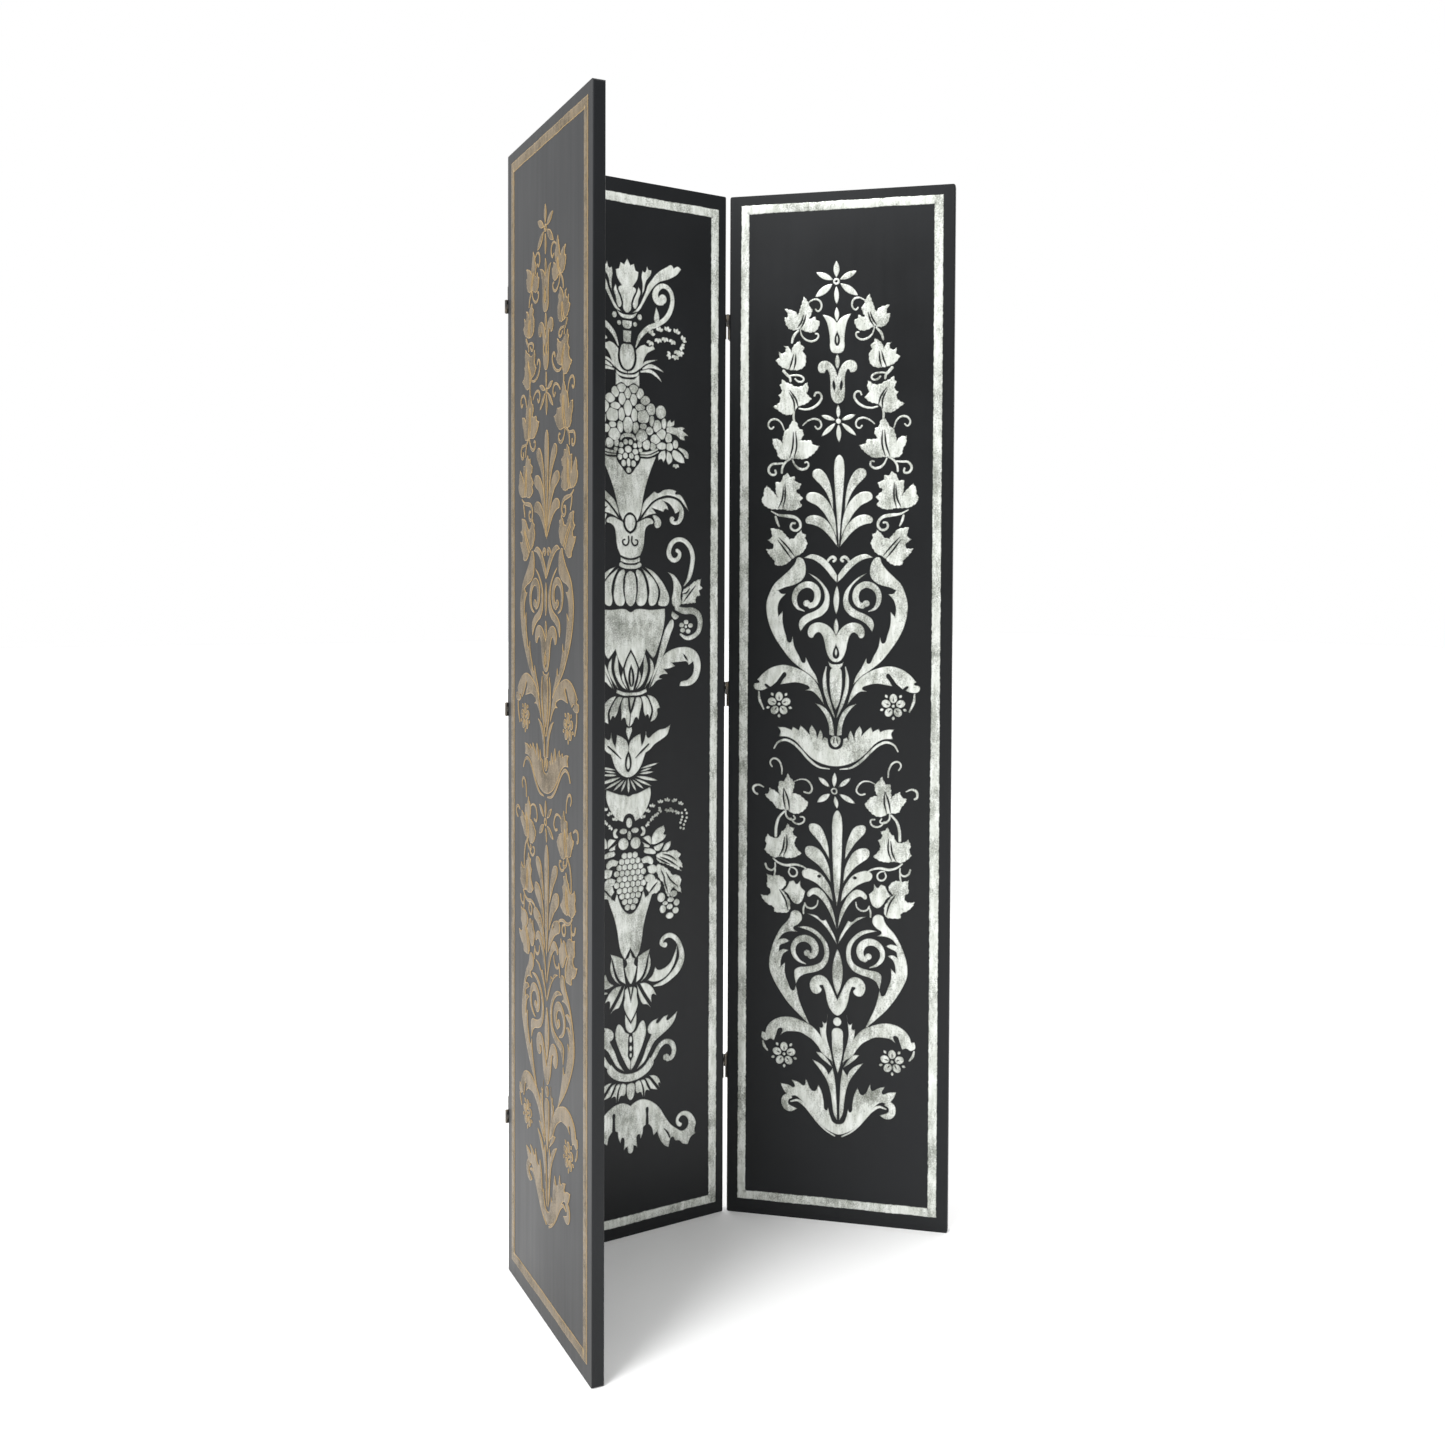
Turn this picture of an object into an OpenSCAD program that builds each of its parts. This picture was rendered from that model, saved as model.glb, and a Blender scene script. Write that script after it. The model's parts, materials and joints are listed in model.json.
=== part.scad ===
// Three-panel folding screen: lacquered boards joined by two-pin hinges, with leafed relief on both faces.
// The centre panel stands along X, its silver face towards -Y. Origin: middle of the centre panel's foot.

/* [Panels] */
// Height of each panel
panel_h = 1830; // [1700:10:2000]
// Width of each panel
panel_w = 398; // [380:2:460]
// Thickness of each panel
panel_t = 19; // [18:0.5:24]
// Radius of the long and short edges of a panel
edge_r = 2; // [1:0.5:3]
// Radius of a panel's four outline corners
corner_r = 4; // [3:0.5:8]

/* [Fold] */
// Fold of the left panel towards the silver side
left_fold = 83.5; // [0:0.5:90]
// Fold of the right panel towards the silver side
right_fold = 45; // [0:0.5:90]

/* [Hinges] */
// Gap between two panels when they are flat
hinge_gap = 6; // [6:0.5:10]
// Height of a hinge
hinge_h = 44; // [44:1:60]
// Middle of the top hinge above the floor
hinge_z_top = 1600; // [1500:5:1650]
// Middle of the middle hinge above the floor
hinge_z_mid = 942; // [900:1:960]
// Middle of the bottom hinge above the floor
hinge_z_low = 266; // [200:1:300]
// Thickness of the hinge plates
plate_t = 1.3; // [1.1:0.1:1.4]
// Distance of each pin's axis outside the panel face
pin_out = 1.5; // [1.4:0.1:2]
// Radius of a hinge pin
pin_r = 1.2; // [1:0.1:1.3]
// Radial clearance of pins and screws
clear = 0.05; // [0.02:0.01:0.1]
// Wall of a hinge knuckle around its bore
knuckle_wall = 1.3; // [1.2:0.1:1.5]
// Gap between neighbouring knuckles
knuckle_gap = 0.3; // [0.2:0.1:0.5]

/* [Screws] */
// Radius of a hinge screw's shank
screw_r = 1.3; // [1.2:0.1:1.5]
// Radius of a hinge screw's head
screw_head_r = 2.6; // [2.4:0.1:3]
// Length of a hinge screw's shank in the board
screw_len = 14; // [10:1:18]
// Distance of each screw from the middle of its hinge
screw_z = 14; // [12:1:15]

/* [Ornament] */
// Height of the leafed border above the lacquer
border_h = 0.6; // [0.4:0.1:0.8]
// Height of the leafed relief above the lacquer
relief_h = 1; // [0.6:0.1:1.2]
// Width of the border strip
border_w = 15.5; // [12:0.5:20]
// Lacquer margin beside the border strip
border_side = 20; // [16:1:24]
// Lacquer margin above the border strip
border_top = 17; // [14:1:24]
// Lacquer margin below the border strip
border_foot = 26; // [20:1:34]

/* [Hidden] */
$fn = 48;

LACQUER = [0.12, 0.12, 0.13];
SILVER = [0.80, 0.79, 0.74];
GOLD = [0.64, 0.52, 0.35];
IRON = [0.27, 0.26, 0.25];

joint_x = panel_w / 2 + hinge_gap / 2;
pin_y = panel_t / 2 + pin_out;
bore_r = pin_r + clear;
knuckle_r = bore_r + knuckle_wall;
half_h = hinge_h / 2;
leaf_y = panel_t / 2 - 0.8;
link_half = plate_t / 2;
bead = 0.5;
knuckle_h = (half_h - 2 * bead - 2 * knuckle_gap) / 3;
head_r = pin_r + 0.7;
head_h = 0.8;
pilot_r = screw_r + clear;
sink_h = plate_t - 0.1;
hinge_zs = [hinge_z_top, hinge_z_mid, hinge_z_low];

// ---------- placing ----------

// Turns what is drawn for the flat screen about a vertical line.
module turn_about(x, y, angle) {
    translate([x, y, 0])
        rotate([0, 0, angle])
            translate([-x, -y, 0])
                children();
}

// Moves a flat right-hand panel, drawn as if in one line with the centre, to its fold.
module on_right() {
    turn_about(joint_x, -pin_y, -right_fold)
        children();
}

// Moves a flat left-hand panel, drawn as if in one line with the centre, to its fold.
module on_left() {
    turn_about(-joint_x, -pin_y, left_fold)
        children();
}

// A hinge is drawn for the right-hand joint around the middle of the gap.
module at_right_joint(z) {
    translate([joint_x, 0, z])
        children();
}

module at_left_joint(z) {
    translate([-joint_x, 0, z])
        mirror([1, 0, 0])
            children();
}

// ---------- boards ----------

// Rectangle with round corners, centred.
module round_rect(w, h, r) {
    square([w - 2 * r, h], center = true);
    square([w, h - 2 * r], center = true);
    for (sx = [-1, 1], sy = [-1, 1])
        translate([sx * (w / 2 - r), sy * (h / 2 - r)])
            circle(r = r);
}

// A panel's board around the origin's X, standing on the floor.
module board_blank() {
    intersection() {
        linear_extrude(panel_h)
            round_rect(panel_w, panel_t, edge_r);
        translate([0, panel_t / 2 + 1, panel_h / 2])
            rotate([90, 0, 0])
                linear_extrude(panel_t + 2)
                    round_rect(panel_w, panel_h, corner_r);
    }
}

// Pilot holes for one hinge in the board end that faces +X.
module pilots(z) {
    for (s = [-1, 1])
        translate([panel_w / 2 - screw_len - 0.5, 0, z + s * screw_z])
            rotate([0, 90, 0])
                cylinder(h = screw_len + 1.5, r = pilot_r);
}

module drilled_board(ends) {
    difference() {
        board_blank();
        for (s = ends, z = hinge_zs)
            mirror([s < 0 ? 1 : 0, 0, 0])
                pilots(z);
    }
}

module centre_board() {
    color(LACQUER)
        drilled_board([-1, 1]);
}

module left_board() {
    color(LACQUER)
        on_left()
            translate([-panel_w - hinge_gap, 0, 0])
                drilled_board([1]);
}

module right_board() {
    color(LACQUER)
        on_right()
            translate([panel_w + hinge_gap, 0, 0])
                drilled_board([-1]);
}

// ---------- hinges, drawn flat for the right-hand joint ----------

// Lowest point of knuckle i (0, 1, 2) in the half that starts at z0.
function knuckle_z(z0, i) = z0 + bead + i * (knuckle_h + knuckle_gap);

// Leaf on the board end at -X, with its knuckle on the front pin in the upper half.
module inner_leaf_shape() {
    difference() {
        union() {
            translate([-hinge_gap / 2, -leaf_y, -half_h])
                cube([plate_t, 2 * leaf_y, hinge_h]);
            translate([0, 0, knuckle_z(0, 1)])
                linear_extrude(knuckle_h) {
                    translate([0, -pin_y])
                        circle(r = knuckle_r);
                    polygon([
                        [-hinge_gap / 2, -leaf_y],
                        [-hinge_gap / 2 + plate_t, -leaf_y],
                        [-bore_r - 0.35, -pin_y],
                        [-knuckle_r + 0.05, -pin_y]
                    ]);
                }
        }
        translate([0, -pin_y, -half_h])
            cylinder(h = hinge_h, r = bore_r);
        for (s = [-1, 1])
            translate([-hinge_gap / 2, 0, s * screw_z])
                rotate([0, 90, 0]) {
                    translate([0, 0, -1])
                        cylinder(h = plate_t + 2, r = pilot_r);
                    translate([0, 0, plate_t - sink_h])
                        cylinder(h = sink_h, r1 = pilot_r, r2 = screw_head_r);
                }
    }
}

// The other leaf is the same piece turned upside down, on the back pin in the lower half.
module outer_leaf_shape() {
    rotate([180, 0, 0])
        mirror([1, 0, 0])
            inner_leaf_shape();
}

// Upper half of the link: plate with two knuckles on the front pin, cut clear of the leaf's knuckle.
module link_half_shape() {
    difference() {
        union() {
            translate([-link_half, -pin_y, 0])
                cube([plate_t, pin_y + leaf_y, half_h]);
            for (i = [0, 2])
                translate([0, -pin_y, knuckle_z(0, i)])
                    cylinder(h = knuckle_h, r = knuckle_r);
        }
        translate([0, -pin_y, -1])
            cylinder(h = half_h + 2, r = bore_r);
        translate([0, -pin_y, knuckle_z(0, 1) - knuckle_gap])
            cylinder(h = knuckle_h + 2 * knuckle_gap, r = knuckle_r + 0.3);
        translate([-5, -pin_y - 5, -1])
            cube([10, 5 + knuckle_r - 0.6, 1 + bead]);
        translate([-5, -pin_y - 5, half_h - bead])
            cube([10, 5 + knuckle_r - 0.6, 1 + bead]);
    }
}

module link_shape() {
    link_half_shape();
    rotate([180, 0, 0])
        link_half_shape();
}

// Pin with two round heads, in the upper half on the front.
module front_pin_shape() {
    translate([0, -pin_y, 0]) {
        translate([0, 0, bead])
            cylinder(h = half_h - 2 * bead, r = pin_r);
        translate([0, 0, half_h - bead])
            cylinder(h = head_h, r1 = head_r, r2 = pin_r);
        translate([0, 0, bead - head_h])
            cylinder(h = head_h, r1 = pin_r, r2 = head_r);
    }
}

module back_pin_shape() {
    rotate([180, 0, 0])
        front_pin_shape();
}

// Hinge i (0 top, 1 middle, 2 bottom) of each joint.
module left_inner_leaf(i) {
    color(IRON) at_left_joint(hinge_zs[i]) inner_leaf_shape();
}

module left_outer_leaf(i) {
    color(IRON) on_left() at_left_joint(hinge_zs[i]) outer_leaf_shape();
}

module left_link(i) {
    color(IRON) on_left() at_left_joint(hinge_zs[i]) link_shape();
}

module left_front_pin(i) {
    color(IRON) on_left() at_left_joint(hinge_zs[i]) front_pin_shape();
}

module left_back_pin(i) {
    color(IRON) on_left() at_left_joint(hinge_zs[i]) back_pin_shape();
}

module right_inner_leaf(i) {
    color(IRON) at_right_joint(hinge_zs[i]) inner_leaf_shape();
}

module right_outer_leaf(i) {
    color(IRON) on_right() at_right_joint(hinge_zs[i]) outer_leaf_shape();
}

module right_link(i) {
    color(IRON) on_right() at_right_joint(hinge_zs[i]) link_shape();
}

module right_front_pin(i) {
    color(IRON) on_right() at_right_joint(hinge_zs[i]) front_pin_shape();
}

module right_back_pin(i) {
    color(IRON) on_right() at_right_joint(hinge_zs[i]) back_pin_shape();
}

// ---------- screws ----------

// Countersunk screw that points along -X, its head flush with the leaf at the origin's plane.
module screw() {
    rotate([0, -90, 0]) {
        difference() {
            cylinder(h = sink_h, r1 = screw_head_r, r2 = screw_r);
            translate([-screw_head_r, -0.3, -1])
                cube([2 * screw_head_r, 0.6, 1.5]);
        }
        translate([0, 0, sink_h])
            cylinder(h = screw_len, r = screw_r);
    }
}

// The two screws of every inner leaf of the right-hand joint.
module inner_screws() {
    for (z = hinge_zs, s = [-1, 1])
        at_right_joint(z)
            translate([-hinge_gap / 2 + plate_t, 0, s * screw_z])
                screw();
}

// The two screws of every outer leaf of the right-hand joint.
module outer_screws() {
    for (z = hinge_zs, s = [-1, 1])
        at_right_joint(z)
            translate([hinge_gap / 2 - plate_t, 0, s * screw_z])
                mirror([1, 0, 0])
                    screw();
}

module centre_left_screws() {
    color(IRON) mirror([1, 0, 0]) inner_screws();
}

module centre_right_screws() {
    color(IRON) inner_screws();
}

module left_screws() {
    color(IRON) on_left() mirror([1, 0, 0]) outer_screws();
}

module right_screws() {
    color(IRON) on_right() outer_screws();
}

// ---------- leafed border ----------

// Outline of the border strip on a face, X across the panel and Y up it.
module border_outline() {
    low = border_foot;
    high = panel_h - border_top;
    side = panel_w / 2 - border_side;
    difference() {
        translate([-side, low])
            square([2 * side, high - low]);
        translate([-side + border_w, low + border_w])
            square([2 * (side - border_w), high - low - 2 * border_w]);
    }
}

// Stands a flat outline on the silver face (-Y) of a panel drawn around X = 0.
module on_silver_face(h) {
    translate([0, -panel_t / 2, 0])
        rotate([90, 0, 0])
            linear_extrude(h)
                children();
}

// Stands a flat outline on the gold face (+Y) of a panel drawn around X = 0.
module on_gold_face(h) {
    translate([0, panel_t / 2 + h, 0])
        rotate([90, 0, 0])
            linear_extrude(h)
                children();
}

module silver_border() {
    color(SILVER) on_silver_face(border_h) border_outline();
}

module gold_border() {
    color(GOLD) on_gold_face(border_h) border_outline();
}

// ---------- leafed relief: motifs in millimetres, U across the panel and V up it ----------

ribbon_steps = 5;

// Point at t on the curve through the control points c[0] to c[3].
function curve(c, t) =
    pow(1 - t, 3) * c[0] + 3 * t * pow(1 - t, 2) * c[1] + 3 * t * t * (1 - t) * c[2] + pow(t, 3) * c[3];

// Direction of the same curve.
function heading(c, t) =
    pow(1 - t, 2) * (c[1] - c[0]) + 2 * t * (1 - t) * (c[2] - c[1]) + t * t * (c[3] - c[2]);

// Width at t that runs from w[0] through about w[1] in the middle to w[2].
function width_at(w, t) = w[0] * (1 - t) * (1 - t) + 2 * w[1] * t * (1 - t) * 1.3 + w[2] * t * t;

function side_point(c, w, t, s) =
    let (h = heading(c, t), n = [-h[1], h[0]] / norm(h))
    curve(c, t) + s * n * width_at(w, t) / 2;

// Tapered ribbon: four control points and the widths at its start, middle and end.
module ribbon(r) {
    c = [r[0], r[1], r[2], r[3]];
    w = [r[4], r[5], r[6]];
    polygon(concat(
        [for (i = [0 : ribbon_steps]) side_point(c, w, i / ribbon_steps, 1)],
        [for (i = [ribbon_steps : -1 : 0]) side_point(c, w, i / ribbon_steps, -1)]
    ));
}

// Pointed oval from p along the clockwise angle a.
module petal(p, a, l, w) {
    big = (l * l + w * w) / (4 * w);
    translate(p)
        rotate(-a)
            translate([0, l / 2])
                intersection() {
                    translate([big - w / 2, 0])
                        circle(r = big, $fn = 96);
                    translate([w / 2 - big, 0])
                        circle(r = big, $fn = 96);
                }
}

// Outline that is the same on both sides of the V axis, from its right half.
module both_halves(half) {
    polygon(concat(half, [for (i = [len(half) - 1 : -1 : 0]) [-half[i][0], half[i][1]]]));
}

// Vine leaf with its stem end at p, its middle lobe turned clockwise by a.
module vine_leaf(p, a, s) {
    half = [[3, 2], [16, -6], [30, -2], [27, 9], [35, 20], [21, 22], [14, 19], [15, 33], [9, 42], [2, 54]];
    translate(p)
        rotate(-a)
            scale(s)
                both_halves(half);
}

// Star flower of six petals around a bead.
module star(v, s) {
    petal([0, v + 7 * s], 0, 28 * s, 10 * s);
    petal([0, v - 7 * s], 180, 30 * s, 10 * s);
    for (m = [-1, 1], a = [62, 122])
        petal([m * 7 * s * sin(a), v + 7 * s * cos(a)], m * a, 34 * s, 11 * s);
    translate([0, v])
        circle(r = 5.5 * s);
}

// Rosette of six beads around a seventh.
module rosette(p, s) {
    for (a = [0 : 60 : 300])
        translate(p + 14 * s * [sin(a), cos(a)])
            circle(r = 6.2 * s);
    translate(p)
        circle(r = 4 * s);
}

// Right-hand ribbons of the candelabrum design, mirrored to the left.
CANDELABRUM_RIBBONS = [
    [[44, 1640], [24, 1648], [18, 1625], [32, 1622], 3, 4, 4],
    [[58, 1582], [48, 1562], [30, 1566], [31, 1579], 3, 4, 4],
    [[62, 1450], [40, 1444], [22, 1462], [36, 1478], 3, 5, 4],
    [[63, 1424], [42, 1436], [26, 1428], [37, 1410], 3, 4, 4],
    [[98, 1416], [104, 1434], [126, 1436], [121, 1416], 3, 4, 4],
    [[80, 1356], [70, 1336], [48, 1346], [60, 1358], 3, 4, 4],
    [[96, 1352], [112, 1366], [132, 1350], [118, 1336], 3, 4, 4],
    [[116, 1268], [86, 1264], [60, 1256], [78, 1240], 3, 5, 5],
    [[6, 1275], [10, 1300], [26, 1325], [44, 1340], 2, 14, 12],
    [[5, 1240], [11, 1266], [32, 1290], [57, 1293], 2, 12, 12],
    [[3, 1206], [12, 1226], [30, 1246], [59, 1250], 2, 10, 10],
    [[3, 1152], [14, 1170], [30, 1188], [56, 1186], 3, 7, 1],
    [[64, 1173], [80, 1150], [112, 1135], [113, 1098], 16, 15, 14],
    [[113, 1096], [114, 1060], [82, 1010], [34, 964], 14, 10, 2],
    [[52, 1091], [84, 1094], [80, 1146], [50, 1140], 3, 7, 9],
    [[47, 1140], [22, 1140], [22, 1100], [48, 1104], 9, 8, 8],
    [[47, 1158], [8, 1142], [6, 1104], [28, 1093], 2, 8, 8],
    [[30, 1091], [45, 1086], [60, 1080], [63, 1062], 8, 10, 2],
    [[8, 1006], [20, 1030], [12, 1076], [42, 1070], 12, 12, 12],
    [[12, 918], [22, 940], [24, 968], [13, 990], 2, 5, 2],
    [[24, 936], [40, 978], [78, 1000], [106, 984], 3, 15, 16],
    [[108, 983], [126, 976], [142, 966], [134, 954], 15, 10, 6],
    [[4, 876], [8, 895], [16, 915], [30, 928], 3, 6, 2],
    [[12, 812], [56, 808], [64, 866], [104, 846], 3, 4, 2],
    [[87, 800], [90, 830], [116, 834], [112, 812], 3, 3, 3],
    [[12, 656], [15, 680], [25, 700], [42, 707], 2, 13, 12],
    [[10, 613], [15, 640], [32, 664], [54, 664], 2, 12, 12],
    [[8, 578], [15, 605], [36, 624], [60, 622], 2, 11, 12],
    [[4, 552], [14, 575], [27, 594], [50, 589], 3, 9, 8],
    [[4, 503], [14, 525], [28, 545], [52, 549], 3, 8, 1],
    [[72, 548], [86, 522], [116, 508], [116, 466], 14, 14, 16],
    [[116, 464], [112, 420], [92, 400], [58, 357], 16, 14, 2],
    [[62, 462], [88, 466], [88, 510], [60, 507], 3, 7, 9],
    [[57, 507], [36, 506], [34, 474], [56, 478], 9, 8, 8],
    [[66, 526], [20, 530], [12, 474], [38, 458], 2, 7, 9],
    [[40, 457], [60, 450], [75, 454], [76, 428], 9, 9, 3],
    [[9, 382], [26, 400], [16, 440], [40, 432], 12, 12, 16],
    [[12, 290], [28, 318], [32, 342], [20, 370], 2, 5, 2],
    [[22, 298], [46, 345], [84, 362], [108, 350], 3, 14, 16],
    [[110, 349], [124, 344], [130, 332], [124, 320], 15, 9, 5],
    [[9, 200], [12, 240], [22, 272], [47, 288], 3, 9, 2],
    [[12, 170], [40, 172], [46, 226], [92, 226], 18, 24, 16],
    [[95, 224], [112, 214], [104, 194], [84, 199], 14, 8, 6],
    [[8, 154], [42, 162], [50, 214], [82, 215], 3, 3, 3]
];

// Right-hand vine leaves: stem end, clockwise turn of the middle lobe, scale.
CANDELABRUM_LEAVES = [
    [[62, 1590], -10, 0.95],
    [[74, 1520], -6, 0.85],
    [[72, 1456], 18, 0.9],
    [[82, 1364], -4, 1.15],
    [[104, 1276], -4, 1.1],
    [[82, 1194], 42, 0.95],
    [[86, 738], -5, 1.1],
    [[106, 654], -20, 1],
    [[90, 562], 30, 1]
];

module candelabrum() {
    star(1672, 1);
    star(1425, 0.8);
    star(772, 0.9);
    translate([0, 1548])
        both_halves([[6, 0], [12, 5], [13, 24], [20, 66], [9, 60], [3, 50]]);
    translate([0, 1460])
        both_halves([[5, 0], [9, 12], [12, 46], [28, 54], [26, 68], [12, 72], [3, 58]]);
    petal([0, 1224], 0, 142, 19);
    petal([0, 1092], 0, 46, 10);
    petal([0, 1052], 0, 28, 8);
    petal([0, 918], 0, 74, 17);
    petal([0, 562], 0, 174, 9);
    petal([0, 410], 0, 80, 18);
    petal([0, 272], 0, 78, 16);
    translate([0, 361])
        circle(r = 7);
    translate([0, 816])
        both_halves([
            [12, 0], [42, 14], [62, 38], [80, 50], [96, 54], [100, 66], [72, 62], [58, 70], [50, 58],
            [40, 72], [28, 56], [14, 58], [8, 40]
        ]);
    for (m = [0, 1])
        mirror([m, 0]) {
            for (r = CANDELABRUM_RIBBONS)
                ribbon(r);
            for (l = CANDELABRUM_LEAVES)
                vine_leaf(l[0], l[1], l[2]);
            rosette([100, 926], 1);
            rosette([98, 292], 1);
        }
}

// Right-hand ribbons of the fruit-urn design, mirrored to the left.
URN_RIBBONS = [
    [[27, 1618], [40, 1655], [66, 1686], [104, 1690], 4, 16, 4],
    [[24, 1642], [28, 1660], [34, 1672], [42, 1682], 2, 5, 4],
    [[16, 1552], [30, 1596], [84, 1596], [88, 1636], 4, 8, 9],
    [[88, 1639], [88, 1664], [54, 1664], [54, 1640], 9, 8, 9],
    [[55, 1637], [58, 1620], [76, 1622], [74, 1644], 9, 7, 7],
    [[10, 1502], [28, 1516], [16, 1546], [50, 1552], 5, 10, 4],
    [[24, 1512], [36, 1524], [48, 1529], [60, 1529], 2, 3, 1],
    [[28, 1508], [48, 1519], [60, 1515], [70, 1508], 2, 4, 1],
    [[26, 1504], [44, 1508], [56, 1504], [64, 1494], 2, 4, 1],
    [[82, 1414], [94, 1414], [106, 1408], [118, 1400], 4, 12, 2],
    [[28, 1264], [44, 1300], [102, 1320], [120, 1272], 3, 7, 2],
    [[34, 1262], [52, 1290], [104, 1306], [112, 1266], 3, 8, 8],
    [[111, 1263], [106, 1240], [92, 1244], [88, 1255], 8, 6, 5],
    [[50, 1256], [62, 1258], [66, 1248], [60, 1240], 6, 7, 6],
    [[18, 1162], [32, 1148], [32, 1118], [27, 1102], 3, 11, 14],
    [[30, 1164], [52, 1146], [54, 1118], [47, 1102], 2, 10, 14],
    [[40, 1166], [70, 1146], [76, 1120], [68, 1102], 2, 11, 14],
    [[54, 986], [68, 1020], [80, 1050], [88, 1074], 3, 9, 8],
    [[102, 1102], [130, 1110], [148, 1100], [147, 1070], 12, 9, 8],
    [[147, 1068], [146, 1040], [116, 1034], [104, 1052], 8, 7, 5],
    [[84, 1157], [100, 1145], [104, 1122], [94, 1104], 2, 12, 12],
    [[113, 1138], [132, 1156], [142, 1218], [104, 1217], 5, 8, 9],
    [[101, 1217], [72, 1214], [80, 1176], [102, 1186], 9, 8, 7],
    [[48, 966], [60, 1006], [98, 1034], [130, 1012], 5, 15, 18],
    [[132, 1010], [146, 986], [130, 966], [104, 962], 18, 12, 4],
    [[20, 960], [30, 975], [36, 995], [34, 1016], 3, 8, 2],
    [[12, 943], [16, 930], [14, 915], [9, 902], 4, 10, 4],
    [[26, 942], [36, 932], [50, 918], [50, 902], 5, 12, 6],
    [[42, 945], [54, 944], [62, 936], [65, 924], 2, 6, 2],
    [[10, 812], [24, 836], [22, 858], [84, 884], 6, 12, 3],
    [[28, 822], [40, 827], [50, 826], [62, 823], 2, 3, 1],
    [[28, 812], [38, 816], [46, 814], [54, 810], 2, 3, 1],
    [[26, 806], [38, 808], [48, 802], [57, 795], 2, 3, 1],
    [[36, 700], [48, 706], [60, 702], [74, 706], 6, 14, 14],
    [[56, 680], [66, 680], [76, 676], [86, 684], 3, 8, 2],
    [[54, 440], [98, 448], [120, 496], [90, 519], 6, 10, 8],
    [[87, 520], [66, 524], [64, 500], [78, 503], 8, 7, 6],
    [[20, 450], [25, 465], [30, 485], [44, 496], 4, 10, 2],
    [[34, 448], [46, 456], [47, 474], [45, 486], 3, 6, 2],
    [[16, 438], [24, 428], [27, 416], [30, 406], 4, 7, 2],
    [[28, 442], [40, 428], [44, 412], [46, 398], 3, 8, 2],
    [[11, 306], [20, 330], [25, 350], [32, 368], 6, 12, 8],
    [[24, 302], [44, 340], [68, 350], [98, 380], 5, 14, 3],
    [[48, 300], [56, 330], [88, 336], [94, 314], 6, 8, 9],
    [[93, 311], [92, 294], [72, 296], [77, 310], 9, 7, 6],
    [[6, 281], [36, 284], [48, 292], [54, 308], 6, 6, 3],
    [[30, 270], [38, 264], [38, 252], [36, 242], 5, 8, 4],
    [[42, 272], [54, 268], [60, 260], [62, 250], 4, 8, 4],
    [[98, 166], [118, 158], [144, 166], [134, 186], 16, 12, 10],
    [[133, 188], [124, 202], [102, 200], [107, 182], 10, 7, 6]
];

// Fruit of the upper basket and the lower swag: place and radius.
URN_FRUIT = [
    [11, 1472, 6], [24, 1466, 7], [11, 1455, 7], [35, 1456, 8], [24, 1443, 6], [49, 1441, 9], [67, 1439, 8],
    [11, 1430, 8], [30, 1428, 10], [47, 1420, 6], [62, 1416, 9], [14, 1408, 8], [29, 1410, 6], [42, 1402, 7],
    [27, 1391, 9], [66, 1398, 8], [53, 1388, 7], [81, 1394, 7], [40, 1376, 6], [66, 1377, 7], [82, 1378, 7],
    [95, 1363, 10], [112, 1372, 7], [78, 1360, 7], [62, 1361, 7], [24, 1598, 4], [14, 1586, 4],
    [15, 690, 10], [14, 709, 7], [30, 709, 7], [66, 588, 8], [94, 590, 8], [76, 574, 7], [91, 573, 6],
    [84, 556, 7], [100, 578, 5]
];

// Blossom beads of the upper sprig and the lower string.
URN_BEADS = [
    [45, 1570], [60, 1576], [62, 1564], [78, 1578], [75, 1566], [95, 1573], [90, 1562], [108, 1566],
    [106, 1554], [97, 1545], [104, 1542], [86, 1538], [31, 732], [38, 724], [41, 740], [50, 749], [57, 740],
    [67, 757], [70, 745], [80, 759], [82, 746], [95, 757], [95, 744], [107, 751], [104, 738], [112, 730],
    [120, 733], [109, 720], [118, 722], [108, 710]
];

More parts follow.
